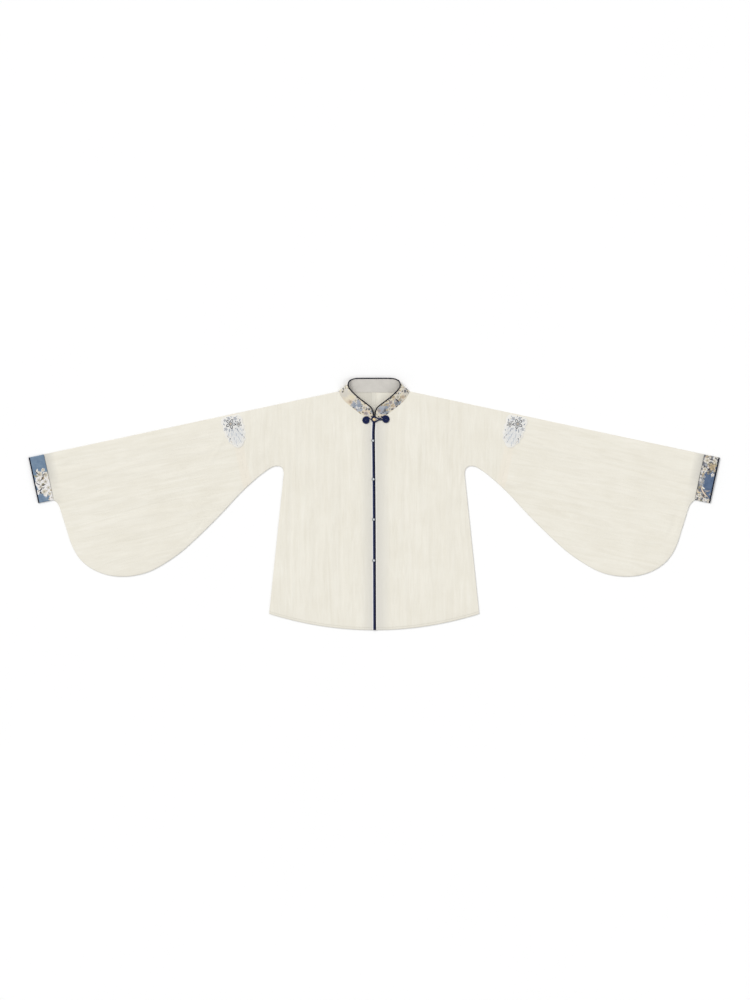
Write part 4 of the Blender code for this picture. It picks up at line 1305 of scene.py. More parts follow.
def flower_group():
    """A printed flower of five notched petals, one unit across from its middle to its tips."""
    tree, given, result = new_group(
        "printed flower",
        {"Local": "Vector"},
        {"Petals": "Float", "Shade": "Float", "Line": "Float", "Eye": "Float"},
    )
    place = add_node(tree, "SeparateXYZ", {0: given["Local"]}).outputs
    wobble = clouds(tree, given["Local"], 3.0, 2.0)
    reach = length_of(tree, given["Local"])
    turn = compute(tree, "ARCTAN2", place[1], place[0])
    half_petals = compute(tree, "MULTIPLY", turn, PRINTED_PETALS / 2)
    lobe = compute(tree, "ABSOLUTE", compute(tree, "COSINE", half_petals))
    petals = compute(tree, "MULTIPLY", turn, PRINTED_PETALS)
    notch = compute(tree, "ABSOLUTE", compute(tree, "SINE", petals))
    least, more, roundness, notched, uneven = FLOWER_RIM
    rim = compute(tree, "MULTIPLY_ADD", compute(tree, "POWER", lobe, roundness), more, least)
    rim = compute(tree, "MULTIPLY_ADD", notch, notched, rim)
    rim = compute(tree, "MULTIPLY_ADD", wobble, uneven, rim)
    inside = compute(tree, "SUBTRACT", rim, reach)
    tree.links.new(ramp(tree, inside, 14.0, 0.0), result["Petals"])
    shade = compute(tree, "MAXIMUM", ramp(tree, lobe, -1.6, 1.0), ramp(tree, reach, -1.1, 0.85))
    tree.links.new(shade, result["Shade"])
    outline = ramp(tree, inside, -9.0, 0.9)
    between = ramp(tree, lobe, -5.0, 1.0)
    at, half = FLOWER_RING
    ring = use_group(tree, edge_line, {"Distance": reach, "At": at, "Half": half})["Mask"]
    stamen = compute(tree, "SINE", compute(tree, "MULTIPLY", turn, PRINTED_STAMENS))
    specks = compute(tree, "MULTIPLY", ring, ramp(tree, stamen, 3.0, -1.6))
    lines = compute(tree, "MAXIMUM", compute(tree, "MAXIMUM", outline, between), specks)
    tree.links.new(lines, result["Line"])
    eye = add_up(tree, (reach, -1.0), (wobble, 0.25))
    tree.links.new(ramp(tree, eye, 16.0, 1.2), result["Eye"])
    return tree


def leaf_group():
    """A printed leaf along X from -1 to 1, with its vein."""
    tree, given, result = new_group(
        "printed leaf", {"Local": "Vector", "Width": "Float"}, {"Leaf": "Float", "Vein": "Float"}
    )
    place = add_node(tree, "SeparateXYZ", {0: given["Local"]}).outputs
    square = compute(tree, "MULTIPLY", place[0], place[0])
    bend = compute(tree, "MULTIPLY", square, 0.25)
    across = compute(tree, "ABSOLUTE", compute(tree, "SUBTRACT", place[1], bend))
    swell = compute(tree, "MULTIPLY_ADD", square, -1.0, 1.0)
    rim = compute(tree, "MULTIPLY", swell, given["Width"])
    inside = compute(tree, "SUBTRACT", rim, across)
    tree.links.new(ramp(tree, inside, 18.0, 0.0), result["Leaf"])
    tree.links.new(ramp(tree, across, -22.0, 1.0), result["Vein"])
    return tree


flower = flower_group()
leaf = leaf_group()


def laid_place(tree):
    """Place on the cloth as it was cut, from the piece's own UV map."""
    return add_node(tree, "UVMap", uv_map="laid").outputs[0]


def at_motif(tree, place, x, y, half_x, half_y, turn=0.0):
    """Local place of a motif in units of its half sizes, centred on it and turned with it."""
    inputs = {
        "Vector": place,
        "Location": (x * MM, y * MM, 0.0),
        "Rotation": (0.0, 0.0, math.radians(turn)),
        "Scale": (half_x * MM, half_y * MM, 1.0),
    }
    return add_node(tree, "Mapping", inputs, vector_type="TEXTURE").outputs[0]


def draw_flower(tree, place, colour, motif):
    """Colour with a flower over it: petals in their tone, shaded, lined, and with a dark eye."""
    x, y, radius, turn, tone = motif
    local = at_motif(tree, place, x, y, radius, radius, turn)
    shape = use_group(tree, flower, {"Local": local})
    petal = PRINT_TONES[tone]
    deeper = tuple(value * share for value, share in zip(petal, PETAL_SHADE))
    petals = mix_colours(tree, shape["Shade"], petal, deeper)
    petals = tint(
        tree, petals, (shape["Line"], 0.70, DARK), (shape["Eye"], 1.0, PRINT_TONES["olive"])
    )
    return mix_colours(tree, shape["Petals"], colour, petals)


def draw_leaf(tree, place, colour, motif, width):
    """Colour with a leaf or a twig over it. Its width is a share of its length."""
    x, y, half, turn, tone = motif
    local = at_motif(tree, place, x, y, half, half, turn)
    shape = use_group(tree, leaf, {"Local": local, "Width": width})
    lit = tuple(VEIN_TONE[0] * value + VEIN_TONE[1] for value in PRINT_TONES[tone])
    vein = LEAF_VEIN if width > TWIG_WIDEST else TWIG_VEIN
    green = tint(tree, PRINT_TONES[tone], (shape["Vein"], vein, lit))
    return mix_colours(tree, shape["Leaf"], colour, green)


def scatter(tree, place, scale, ground, tones, share):
    """Colour of a ground with small flowers scattered over it, in tones by chance."""
    cells = add_node(tree, "TexVoronoi", {"Vector": place, "Scale": scale}, voronoi_dimensions="2D")
    centres = {0: place, 1: cells.outputs["Position"]}
    local = add_node(tree, "VectorMath", centres, operation="SUBTRACT").outputs[0]
    enlarged = {0: local, 3: SCATTERED_SIZE * scale}
    local = add_node(tree, "VectorMath", enlarged, operation="SCALE").outputs[0]
    bloom = use_group(tree, flower, {"Local": local})
    kinds = add_node(tree, "SeparateColor", {0: cells.outputs["Color"]}).outputs
    petals = PRINT_TONES[tones[0]]
    for index, tone in enumerate(tones[1:], 1):
        chosen = compute(tree, "GREATER_THAN", kinds[0], index / len(tones))
        petals = mix_colours(tree, chosen, petals, PRINT_TONES[tone])
    shade = compute(tree, "MULTIPLY", bloom["Shade"], 0.6)
    lines = compute(tree, "MAXIMUM", bloom["Line"], shade)
    petals = tint(tree, petals, (lines, 0.6, DARK))
    grown = compute(tree, "LESS_THAN", kinds[2], share)
    return mix_colours(tree, compute(tree, "MULTIPLY", bloom["Petals"], grown), ground, petals)


def blot(tree, place, cloud, shape):
    """Mask of a part of a print with a cloudy border: middle x and y, half length, half width."""
    reach = length_of(tree, at_motif(tree, place, *shape))
    return ramp(tree, compute(tree, "MULTIPLY_ADD", cloud, -2.0, reach), -12.0, -1.0)


def cuff_print(word):
    """Slate blue cotton printed with the flowers, leaves and twigs of one cuff."""
    material, tree, shader = new_material(f"printed cuff cloth, {word}")
    laid = laid_place(tree)
    round_cuff, along = add_node(tree, "SeparateXYZ", {0: laid}).outputs[:2]
    below = compute(tree, "PINGPONG", round_cuff, CUFF_GIRTH / 2)
    place = add_node(tree, "CombineXYZ", {0: below, 1: along}).outputs[0]
    threads = use_group(tree, weave, {"Place": laid, "Pitch": COTTON_PITCH})
    cloud = clouds(tree, laid, 90.0, 5.0)
    colour = mix_colours(tree, ramp(tree, cloud, 3.0, -1.0), *CUFF_GROUNDS[word])
    ground, tones, share = FILLINGS[word]
    filled = scatter(tree, place, CUFF_SCATTER, PRINT_TONES[ground], tones, share)
    for part in CUFF_FILLED[word]:
        colour = mix_colours(tree, blot(tree, place, cloud, part), colour, filled)
    for motif in CUFF_LEAVES[word]:
        colour = draw_leaf(tree, place, colour, motif, LEAF_WIDTH)
    for motif in CUFF_FLOWERS[word]:
        colour = draw_flower(tree, place, colour, motif)
    for *motif, width in CUFF_TWIGS[word]:
        colour = draw_leaf(tree, place, colour, motif, width)
    thicker = ramp(tree, threads["Slub"], *THICK_THREADS)
    colour = tint(tree, colour, (thicker, CUFF_THREADS, PETAL))
    height = compute(tree, "MULTIPLY_ADD", threads["Height"], 0.3, cloud)
    fill_inputs(tree, shader, {
        "Base Color": colour,
        "Roughness": compute(tree, "MULTIPLY_ADD", cloud, *COTTON_ROUGH),
        "Normal": relief(tree, height, *COTTON_RELIEF),
        "Specular IOR Level": COTTON_SPECULAR,
    })
    return material


def cuff_band(start, end, steps, side):
    """A flattened band square to the sleeve, which puffs up a little in its middle."""
    rings = []
    for index in range(steps + 1):
        along = start + (end - start) * index / steps
        swell = math.sqrt(max(0.0, math.sin(math.pi * index / steps)))
        ring_radius = CUFF_RADIUS * (CUFF_FLATTENED + (1.0 - CUFF_FLATTENED) * swell)
        edges = sleeve_point(along, 0.0), sleeve_point(along, CUFF_DEPTH)
        rings.append(flat_ring(*edges, -DOWN, ring_radius, CUFF_COLUMNS))
    band = lay_tube(rings, CUFF_COLUMNS[0], side)
    fold_start = sleeve_point(0.0, 0.0)
    for vertex in (vertex for vertex in band.verts if vertex.select):
        x = side * vertex.co.x / MM
        y = vertex.co.y / MM
        share = (Vector((x, y)) - fold_start).dot(DOWN) / CUFF_DEPTH
        puff = CUFF_PUFF * math.sin(math.pi * share) ** 2
        height, across, along = CUFF_WAVE
        wave = noise.noise(Vector((side * x / across, y / along, 4.0)))
        puff += height * wave * ease(share * CUFF_WAVE_START)
        vertex.co.z += puff * MM
    return band


cuff_satin = satin("dark cuff satin", BLACK_NAVY, BLACK_NAVY_LIGHT)
cuff_start = CUFF_SEAM + SEAM_GAP
cuff_end = cuff_start + CUFF_WIDTH
binding_start = cuff_end + CUFF_BINDING_GAP
binding_end = binding_start + CUFF_BINDING_WIDTH
for word, side in SIDES.items():
    band = cuff_band(binding_start, binding_end, CUFF_BINDING_STEPS, side)
    binding = finish_piece(f"cuff_edge_{word}", band, [cuff_satin], CUFF_BINDING_CLOTH)
    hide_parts(f"cuff_binding_{word}")
    band = cuff_band(cuff_start, cuff_end, CUFF_STEPS, side)
    piece = finish_piece(f"cloth_cuff_{word}", band, [cuff_print(word)], CUFF_CLOTH)
    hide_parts(f"cuff_{word}")


# The stand collar: a stiffened band of printed cotton, plain cloth inside, sewn into the neck
# and open at the front. It falls flat at the back and stands up a little at both sides.
COLLAR_CLOTH = 1.1
COLLAR_ROWS = 4
COLLAR_CROWN = 0.6
COLLAR_SMOOTHING = 2
COLLAR_LEAF_WIDTH = 0.38
COLLAR_ROUGH = (0.12, 0.62)
COLLAR_RELIEF = (0.7, 0.2)
COLLAR_THREADS = 0.25
COLLAR_GROUND = (0.730, 0.670, 0.540)
COLLAR_INSIDE = (0.655, 0.630, 0.585)

# Washes of colour over the collar's ground
COLLAR_WASHES = ((0.730, 0.670, 0.470), (0.620, 0.585, 0.520), (0.680, 0.575, 0.450))
COLLAR_BLUE = (0.350, 0.380, 0.430)
PIPING_RADIUS = 1.6
PIPING_DISTANCE = 1.8
PIPING_STEPS = 5
CORD_ROUNDNESS = 3

# Columns: neck seam x, y, z and collar edge x, y, z, from the centre back to the centre front
COLLAR = (
    (0.0, 289.9, 1.1, 0.0, 324.5, 5.0),
    (30.0, 289.9, 1.1, 26.0, 324.5, 5.0),
    (58.0, 289.9, 1.1, 49.0, 323.8, 6.0),
    (77.0, 290.2, 1.1, 61.0, 320.0, 8.6),
    (89.0, 291.8, 1.1, 66.4, 315.8, 11.4),
    (91.2, 293.1, 1.4, 68.4, 312.2, 13.7),
    (91.4, 293.1, 2.3, 68.9, 308.4, 15.6),
    (91.6, 291.9, 2.8, 68.2, 304.4, 16.8),
    (89.2, 284.6, 2.8, 67.3, 301.8, 17.2),
    (84.8, 276.7, 2.8, 66.0, 299.0, 17.5),
    (74.3, 264.2, 2.8, 57.0, 288.6, 18.0),
    (56.3, 249.6, 2.8, 41.4, 274.4, 17.5),
    (38.2, 235.1, 2.8, 22.8, 260.2, 15.0),
    (25.1, 227.6, 2.8, 10.4, 250.4, 11.5),
    (12.1, 223.6, 2.8, 5.6, 241.5, 8.0),
    (4.2, 223.1, 2.8, 4.2, 234.0, 5.6),
)

# Columns: piping x, y, z down the collar's front edge to the neckline
PIPING_END = ((2.4, 229.5, 4.5), (2.4, 225.0, 3.6))

# Clouds of blue grey on the collar, and one part with few flowers. Columns: distance round from
# the centre back, distance from the neck seam, half length, half width
COLLAR_CLOUDS = (
    (-141.0, 14.0, 18.0, 15.0), (159.0, 15.0, 20.0, 15.0), (122.0, 12.0, 13.0, 11.0),
    (-190.0, 20.0, 10.0, 9.0),
)
COLLAR_PLAIN = (-112.0, 16.0, 26.0, 24.0)

# Flowers scattered over the collar, the smallest under its leaves and the small ones over them.
# Columns: cells to a metre, share of the cells with a flower as its change in the plain part and
# the share elsewhere, tones
COLLAR_SMALLEST = (230.0, -0.36, 0.42, ("olive", "dark", "mauve", "tan", "slate", "dark"))
COLLAR_SMALL = (125.0, -0.30, 0.36, ("white", "slate", "tan", "cream", "peach"))

# Larger printed motifs of the collar. Columns: distance round from the centre back, distance
# from the neck seam, radius or half length, turn in degrees, tone
COLLAR_FLOWERS = (
    (104.0, 10.0, 6.0, 80.0, "peach"), (115.0, 21.0, 8.0, 10.0, "cream"),
    (127.0, 9.0, 6.5, 50.0, "blue"), (139.0, 22.0, 6.0, 20.0, "mauve"),
    (150.0, 9.0, 6.0, 40.0, "cream"), (176.0, 19.0, 6.5, 25.0, "mauve"),
    (187.0, 10.0, 6.0, 70.0, "cream"), (198.0, 20.0, 5.0, 10.0, "peach"),
    (-122.0, 10.0, 7.0, 20.0, "peach"), (-131.0, 22.0, 6.0, 100.0, "cream"),
    (-160.0, 20.0, 7.0, 45.0, "cream"), (-172.0, 9.0, 6.0, 0.0, "mauve"),
    (-184.0, 20.0, 6.0, 30.0, "blue"), (-196.0, 11.0, 5.5, 60.0, "cream"),
)
COLLAR_LEAVES = (
    (-137.0, 9.0, 9.0, 30.0, "blue"), (-146.0, 15.0, 10.0, 72.0, "blue"),
    (-152.0, 6.0, 8.0, 120.0, "ice"), (-170.0, 25.0, 7.0, 15.0, "olive"),
    (-190.0, 4.0, 6.0, 10.0, "dark"), (155.0, 19.0, 11.0, 85.0, "blue"),
    (164.0, 25.0, 9.0, 40.0, "ice"), (160.0, 8.0, 9.0, 140.0, "blue"),
    (121.0, 15.0, 7.0, 60.0, "dark"), (108.0, 26.0, 7.0, 160.0, "dark"),
    (182.0, 26.0, 6.0, 30.0, "olive"),
)


def collar_print(tree, laid, cloud):
    """Colour of the collar's print: washes, blue clouds, small flowers, leaves and flowers."""
    channels = add_node(tree, "SeparateColor", {0: cloud.outputs[1]}).outputs
    cloudy = cloud.outputs[0]
    colour = COLLAR_GROUND
    for channel, wash in zip(channels, COLLAR_WASHES):
        colour = mix_colours(tree, ramp(tree, channel, 9.0, -4.7), colour, wash)
    for part in COLLAR_CLOUDS:
        colour = mix_colours(tree, blot(tree, laid, cloudy, part), colour, COLLAR_BLUE)
    plain = blot(tree, laid, cloudy, COLLAR_PLAIN)
    cells, less, elsewhere, tones = COLLAR_SMALLEST
    share = compute(tree, "MULTIPLY_ADD", plain, less, elsewhere)
    colour = scatter(tree, laid, cells, colour, tones, share)
    for motif in COLLAR_LEAVES:
        colour = draw_leaf(tree, laid, colour, motif, COLLAR_LEAF_WIDTH)
    cells, less, elsewhere, tones = COLLAR_SMALL
    share = compute(tree, "MULTIPLY_ADD", plain, less, elsewhere)
    colour = scatter(tree, laid, cells, colour, tones, share)
    for motif in COLLAR_FLOWERS:
        colour = draw_flower(tree, laid, colour, motif)
    return colour


def collar_cloth(name, printed):
    """Stiffened cotton of the collar, printed outside and plain inside."""
    material, tree, shader = new_material(name)
    laid = laid_place(tree)
    threads = use_group(tree, weave, {"Place": laid, "Pitch": COTTON_PITCH})
    scale = 30.0 if printed else 60.0
    cloud = add_node(tree, "TexNoise", {"Vector": laid, "Scale": scale, "Detail": 4.0})
    cloudy = cloud.outputs[0]
    if printed:
        colour = collar_print(tree, laid, cloud)
    else:
        colour = mix_colours(tree, cloudy, times(COLLAR_INSIDE, 0.82), COLLAR_INSIDE)
    thicker = ramp(tree, threads["Slub"], *THICK_THREADS)
    height = compute(tree, "MULTIPLY_ADD", threads["Height"], 0.5, threads["Slub"])
    fill_inputs(tree, shader, {
        "Base Color": tint(tree, colour, (thicker, COLLAR_THREADS, PETAL)),
        "Roughness": compute(tree, "MULTIPLY_ADD", cloudy, *COLLAR_ROUGH),
        "Normal": relief(tree, height, *COLLAR_RELIEF),
        "Specular IOR Level": COTTON_SPECULAR,
    })
    return material


def mirrored(points):
    """A line from the centre outwards, made whole from the other side's end."""
    other = [Vector((-point.x, point.y, point.z)) for point in reversed(points[1:])]
    return other + list(points)


def piping_path(seams, rims):
    """Middle line of the piping, in the plane of the band and beyond its edge."""
    path = []
    face = Vector((0.0, 0.0, 1.0))
    for index, (seam, rim) in enumerate(zip(seams, rims)):
        tangent = tangent_at(rims, index)
        if index == 0:
            tangent = Vector((1.0, 0.0, 0.0))
        if index < len(rims) - 3:
            face = tangent.cross(rim - seam).normalized()
        path.append(rim + face.cross(tangent).normalized() * PIPING_DISTANCE)
    path += [Vector(point) for point in PIPING_END]
    return smooth_line(mirrored(path), PIPING_STEPS)


seams = [Vector(row[:3]) for row in COLLAR]
rims = [Vector(row[3:]) for row in COLLAR]
piping_satin = satin("piping satin", BLACK_NAVY, BLACK_NAVY_LIGHT)
piping = cord(
    "neck_piping", [piping_path(seams, rims)], PIPING_RADIUS, CORD_ROUNDNESS, piping_satin
)
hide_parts("collar_piping")

seams = mirrored(seams)
rims = mirrored(rims)
band = bmesh.new()
bmesh.ops.create_grid(band, x_segments=len(seams) - 1, y_segments=COLLAR_ROWS, size=0.5)
laid = band.loops.layers.uv.new("laid")
middles = [seam.lerp(rim, 0.5) for seam, rim in zip(seams, rims)]
lengths = [0.0]
for start, end in zip(middles, middles[1:]):
    lengths.append(lengths[-1] + (end - start).length)
for face in band.faces:
    for loop in face.loops:
        column = round((loop.vert.co.x + 0.5) * (len(seams) - 1))
        share = loop.vert.co.y + 0.5
        depth = (rims[column] - seams[column]).length
        loop[laid].uv = ((lengths[column] - lengths[-1] / 2) * MM, share * depth * MM)
for vertex in band.verts:
    column = round((vertex.co.x + 0.5) * (len(seams) - 1))
    vertex.co = seams[column].lerp(rims[column], vertex.co.y + 0.5) * MM
band.normal_update()

# The printed side faces up at the front
centres = {face: face.calc_center_median() for face in band.faces}
front_face = max(centres, key=lambda face: centres[face].x - 2.0 * centres[face].y)
if front_face.normal.z < 0.0:
    bmesh.ops.reverse_faces(band, faces=band.faces)
    band.normal_update()
for vertex in band.verts:
    if not vertex.is_boundary:
        vertex.co += vertex.normal * COLLAR_CROWN * MM
collar_area = sum(face.calc_area() for face in band.faces)
outside = collar_cloth("printed collar cloth", True)
inside = collar_cloth("plain collar lining", False)
collar = finish_piece("cloth_collar", band, [outside, inside], 0.0)
smooth = collar.modifiers.new("smooth", "SUBSURF")
smooth.levels = COLLAR_SMOOTHING
smooth.render_levels = COLLAR_SMOOTHING
add_wall(collar, COLLAR_CLOTH, 0.0, 1)
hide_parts("collar")


# The frog fastening: satin cord coiled flat and sewn down on each front, one side running on
# as a loop round the bead, and a gilt melon bead sewn to the other.
FROG_RADIUS = 1.55
COIL_RADIUS = 9.7
COIL_PITCH = 2.95
COIL_STEPS = 26
RUN_STEPS = 7
CORD_SMOOTHING = 4
CORD_NAVY = (0.0042, 0.0085, 0.0560)

# Cords from the coil's outer turn. Columns: x, y
FROG_RUNS = {
    "left": (
        (17.6, 222.9), (10.4, 222.0), (5.2, 224.6), (0.0, 225.9), (-4.6, 224.0), (-6.5, 219.4),
        (-4.6, 214.8), (0.0, 212.9), (5.2, 214.2), (10.4, 217.6), (17.4, 218.6), (22.6, 218.8),
    ),
    "right": ((-11.2, 221.2), (-8.7, 219.8)),
}

# Coils. Columns: centre x, y, turns, angle where the cord leaves, way round
FROG_COILS = {"left": (29.9, 219.7, 3.05, 128.0, 1), "right": (-20.8, 217.0, 3.05, 44.0, -1)}


def frog_path(word, ground):
    """Path of a frog's cord: out from the middle of its coil and on to the bead."""
    centre_x, centre_y, turns, leave, way = FROG_COILS[word]
    plan = []
    steps = int(turns * COIL_STEPS)
    for index in range(steps + 1):
        back = (steps - index) / COIL_STEPS
        angle = math.radians(leave - way * 360.0 * back)
        radius = COIL_RADIUS - COIL_PITCH * back
        x = centre_x + radius * math.cos(angle)
        plan.append(Vector((x, centre_y + radius * math.sin(angle))))
    plan += smooth_line([plan[-1], *FROG_RUNS[word]], RUN_STEPS)[1:]
    heights = [height_on(ground, point.x, point.y) - FROG_RADIUS for point in plan]
    for _ in range(CORD_SMOOTHING):
        three = zip(heights[:1] + heights[:-1], heights, heights[1:] + heights[-1:])
        heights = [(before + 2.0 * here + after) / 4.0 for before, here, after in three]
    return [Vector((point.x, point.y, height)) for point, height in zip(plan, heights)]


cord_satin = satin("navy cord", CORD_NAVY, NAVY_LIGHT, 20.0)
for word in SIDES:
    path = frog_path(word, faces_of(f"frog_{word}"))
    piece = cord(f"coiled_frog_{word}", [path], FROG_RADIUS, CORD_ROUNDNESS, cord_satin)
    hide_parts(f"frog_{word}")


# The frog's bead: cast metal in lobes like a melon, gilt and polished. It is sewn on through
# the hole in its top, with a ring round it.
GILT = (0.820, 0.640, 0.380)
GILT_DARK = (0.330, 0.200, 0.085)
BEAD_GRID = (72, 24)
BEAD_LOBES = 12
LOBE_DEPTH = 0.09
LOBE_SHARPNESS = 0.7
GILT_ROUGH = (0.25, 0.14)
GILT_METAL = 0.6

# Ring and dimple round the bead's hole, in shares of its radius. Columns: girth, reach, height
BEAD_RING = (0.32, 0.07, 0.05)
BEAD_DIMPLE = (0.0, 0.16, -0.16)

low, high = (Vector(corner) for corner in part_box("frog_bead"))
middle = (low + high) / 2
half = (high - low) / 2
bead = bmesh.new()
bmesh.ops.create_uvsphere(bead, u_segments=BEAD_GRID[0], v_segments=BEAD_GRID[1], radius=1.0)
for vertex in bead.verts:
    turn = math.atan2(vertex.co.y, vertex.co.x)
    girth = math.hypot(vertex.co.x, vertex.co.y)
    lobe = abs(math.cos(BEAD_LOBES / 2 * turn)) ** LOBE_SHARPNESS
    groove = LOBE_DEPTH * girth * (1.0 - lobe)
    rise = 0.0
    for place, reach, height in (BEAD_RING, BEAD_DIMPLE):
        rise += height * math.exp(-((girth - place) / reach) ** 2)
    vertex.co *= 1.0 - groove + rise
    vertex.co = Vector((a * b for a, b in zip(vertex.co, half))) + middle
gilt, tree, shader = new_material("polished gilt")
cloud = clouds(tree, object_place(tree), 900.0, 5.0)
hollow = ramp(tree, add_node(tree, "NewGeometry").outputs["Pointiness"], -14.0, 7.2)
dirt = compute(tree, "MULTIPLY", hollow, cloud)
fill_inputs(tree, shader, {
    "Base Color": mix_colours(tree, dirt, GILT, GILT_DARK),
    "Roughness": compute(tree, "MULTIPLY_ADD", cloud, *GILT_ROUGH),
    "Metallic": GILT_METAL,
})
piece = finish_piece("gilt_bead", bead, [gilt], 0.0)
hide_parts("frog_bead")


# Four small buttons down the bound edges, sewn on from below. Each is a pearl dome set in a turned
# rim of dark metal, whose dark is partly painted shade round the dome.
PEARL = (0.640, 0.660, 0.670)
PEARL_BLUE = (0.380, 0.440, 0.510)
RIM_METAL_AND_SHADE = (0.040, 0.046, 0.070)
PEARL_COAT = 0.6
COAT_ROUGHNESS = 0.1
SHELL_ROUGH = 0.2
SHELL_RELIEF = (0.3, 0.05)
BUTTON_STEPS = 40

# Button profile from the middle of the dome down. Columns: share of radius, share of height
DOME = (
    (0.0, 1.0), (0.20, 0.985), (0.38, 0.93), (0.54, 0.82), (0.64, 0.69), (0.68, 0.60),
)
RIM = (
    (0.68, 0.60), (0.71, 0.68), (0.77, 0.71), (0.84, 0.66), (0.94, 0.48), (1.0, 0.28),
    (0.98, 0.12), (0.90, 0.0), (0.0, 0.0),
)


def shell_material(name, first, second, rough, metal):
    """Material of a button's dome or rim, with clouded colour and fine scratches."""
    material, tree, shader = new_material(name)
    cloud = clouds(tree, object_place(tree), 420.0, 4.0, 2.5)
    fill_inputs(tree, shader, {
        "Base Color": mix_colours(tree, ramp(tree, cloud, 3.4, -1.2), first, second),
        "Roughness": compute(tree, "MULTIPLY_ADD", cloud, SHELL_ROUGH, rough),
        "Normal": relief(tree, cloud, *SHELL_RELIEF),
        "Metallic": metal,
        "Coat Weight": 0.0 if metal else PEARL_COAT,
        "Coat Roughness": COAT_ROUGHNESS,
    })
    return material


pearl = shell_material("pearl", PEARL_BLUE, PEARL, 0.10, 0.0)
# The rim's dark is partly painted shade round the dome
dark_rim_and_shade = shell_material("dark rim, partly painted shade", RIM_METAL_AND_SHADE, times(RIM_METAL_AND_SHADE, 2.2), 0.26, 0.8)
for number in range(1, 5):
    low, high = (Vector(corner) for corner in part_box(f"button_{number}"))
    middle = (low + high) / 2
    radius = (high.x - low.x) / 2
    height = high.z - low.z
    button = bmesh.new()
    for row, profile in enumerate((DOME, RIM)):
        points = [button.verts.new((share * radius, 0.0, rise * height)) for share, rise in profile]
        rib = [button.edges.new(pair) for pair in zip(points, points[1:])]
        bmesh.ops.spin(
            button,
            geom=points + rib,
            axis=(0, 0, 1),
            cent=(0, 0, 0),
            angle=2.0 * math.pi,
            steps=BUTTON_STEPS,
            use_merge=True,
        )
        for face in button.faces:
            if not face.tag:
                face.material_index = row
                face.tag = True
    bmesh.ops.remove_doubles(button, verts=button.verts, dist=MERGE_DISTANCE)
    bmesh.ops.recalc_face_normals(button, faces=button.faces)
    bmesh.ops.translate(button, verts=button.verts, vec=(middle.x, middle.y, low.z))
    piece = finish_piece(f"pearl_button_{number}", button, [pearl, dark_rim_and_shade], 0.0)
    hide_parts(f"button_{number}")


# The embroidered patches over the sleeve seams: pale cotton sewn down round a scalloped edge,
# worked in satin stitch with sprays of small flowers, dark outlines and fern-like strokes.
PATCH_CLOTH = 0.8
PATCH_LEAN = 6.0
PATCH_ROLL = 2.4
PATCH_DROP = 0.75
PATCH_BANDS = (0.4, 0.5)
PATCH_STEP = (2.6, 2.6)
PATCH_OUTLINE_STEPS = 5
PATCH_SMOOTHING = 3
PATCH_STITCH_SHARE = 0.05
PATCH_MIDDLE = (3.0, 45.0)
INNER_TINT = (11.15, 3.46)
PATCH_PITCH = 0.40 * MM
PATCH_GROUND = (0.785, 0.768, 0.722)
PATCH_TINT = (0.640, 0.650, 0.660)
PATCH_RELIEF = (0.8, 0.2)
THREADS = {
    "white": (0.830, 0.835, 0.830),
    "ice": (0.600, 0.640, 0.700),
    "slate": (0.230, 0.270, 0.350),
    "dark": (0.040, 0.042, 0.052),
    "tan": (0.560, 0.470, 0.370),
}
STRAND_PITCH = 0.38 * MM
STRAND_ROUGH = (0.25, 0.32)
STRAND_RELIEF = (0.8, 0.12)
STITCH_GRID = (6, 4)
STITCH_SUNK = 0.05
STITCH_TIP = 0.04
STITCH_TAIL = 0.02
STITCH_FULLNESS = 0.65
FLAT_STITCH = 0.35
FULL_STITCH = 0.45

# Outline of the patch. Columns: depth below the fold, half width
PATCH_ROWS = (
    (3.0, 21.0), (9.0, 26.0), (18.0, 29.0), (27.0, 26.5), (36.0, 29.0), (45.0, 26.0),
    (54.0, 27.5), (62.0, 23.0), (70.0, 23.0), (77.0, 16.0), (84.0, 12.0), (89.0, 4.0),
)

# Flowers worked on each patch. Columns: offset from its middle, depth, petal length, petals,
# turn in degrees, petal thread, outline thread
PATCH_FLOWERS = (
    (-10.0, 13.0, 4.8, 5, 10.0, "ice", "slate"), (6.0, 9.0, 4.2, 5, 30.0, "ice", "slate"),
    (5.0, 24.0, 12.0, 5, 18.0, "white", "dark"), (-15.0, 29.0, 7.4, 5, 0.0, "white", "dark"),
    (21.0, 35.0, 4.8, 5, 25.0, "white", "slate"), (17.0, 12.0, 3.6, 5, 60.0, "white", "slate"),
)

# Leaves and short strokes. Columns: offset, depth, length, half width, turn in degrees, thread
PATCH_STROKES = (
    (-21.0, 19.0, 7.0, 1.3, 60.0, "slate"), (22.0, 22.0, 6.0, 1.3, 120.0, "slate"),
    (-2.0, 8.0, 5.0, 1.2, 90.0, "ice"), (-1.0, 5.0, 2.4, 0.9, 90.0, "dark"),
    (10.0, 6.0, 2.2, 0.9, 60.0, "dark"), (-16.0, 8.0, 3.0, 1.0, 120.0, "slate"),
    (-9.0, 21.0, 3.2, 1.3, 40.0, "dark"), (-18.0, 14.0, 2.4, 0.8, 20.0, "tan"),
    (-4.0, 39.0, 5.0, 1.1, 110.0, "slate"), (6.0, 41.0, 6.0, 1.2, 70.0, "slate"),
    (-22.0, 46.0, 5.0, 1.0, 70.0, "slate"), (-16.0, 58.0, 3.4, 1.3, 80.0, "dark"),
    (17.0, 62.0, 4.2, 1.5, 20.0, "dark"), (4.0, 83.0, 2.4, 0.8, 0.0, "slate"),
    (-9.0, 74.0, 2.2, 0.8, 60.0, "tan"), (21.0, 55.0, 9.0, 0.7, 112.0, "tan"),
    (16.0, 70.0, 9.0, 0.7, 124.0, "tan"), (-19.0, 66.0, 8.0, 0.7, 62.0, "tan"),
)

# How uneven the fern strokes are: turn in degrees, shift in millimetres, share of the length
FERN_UNEVEN = (10.0, 3.0, 0.3)
FERN_START = 0.6
FERN_NOISE_STEP = 3.7

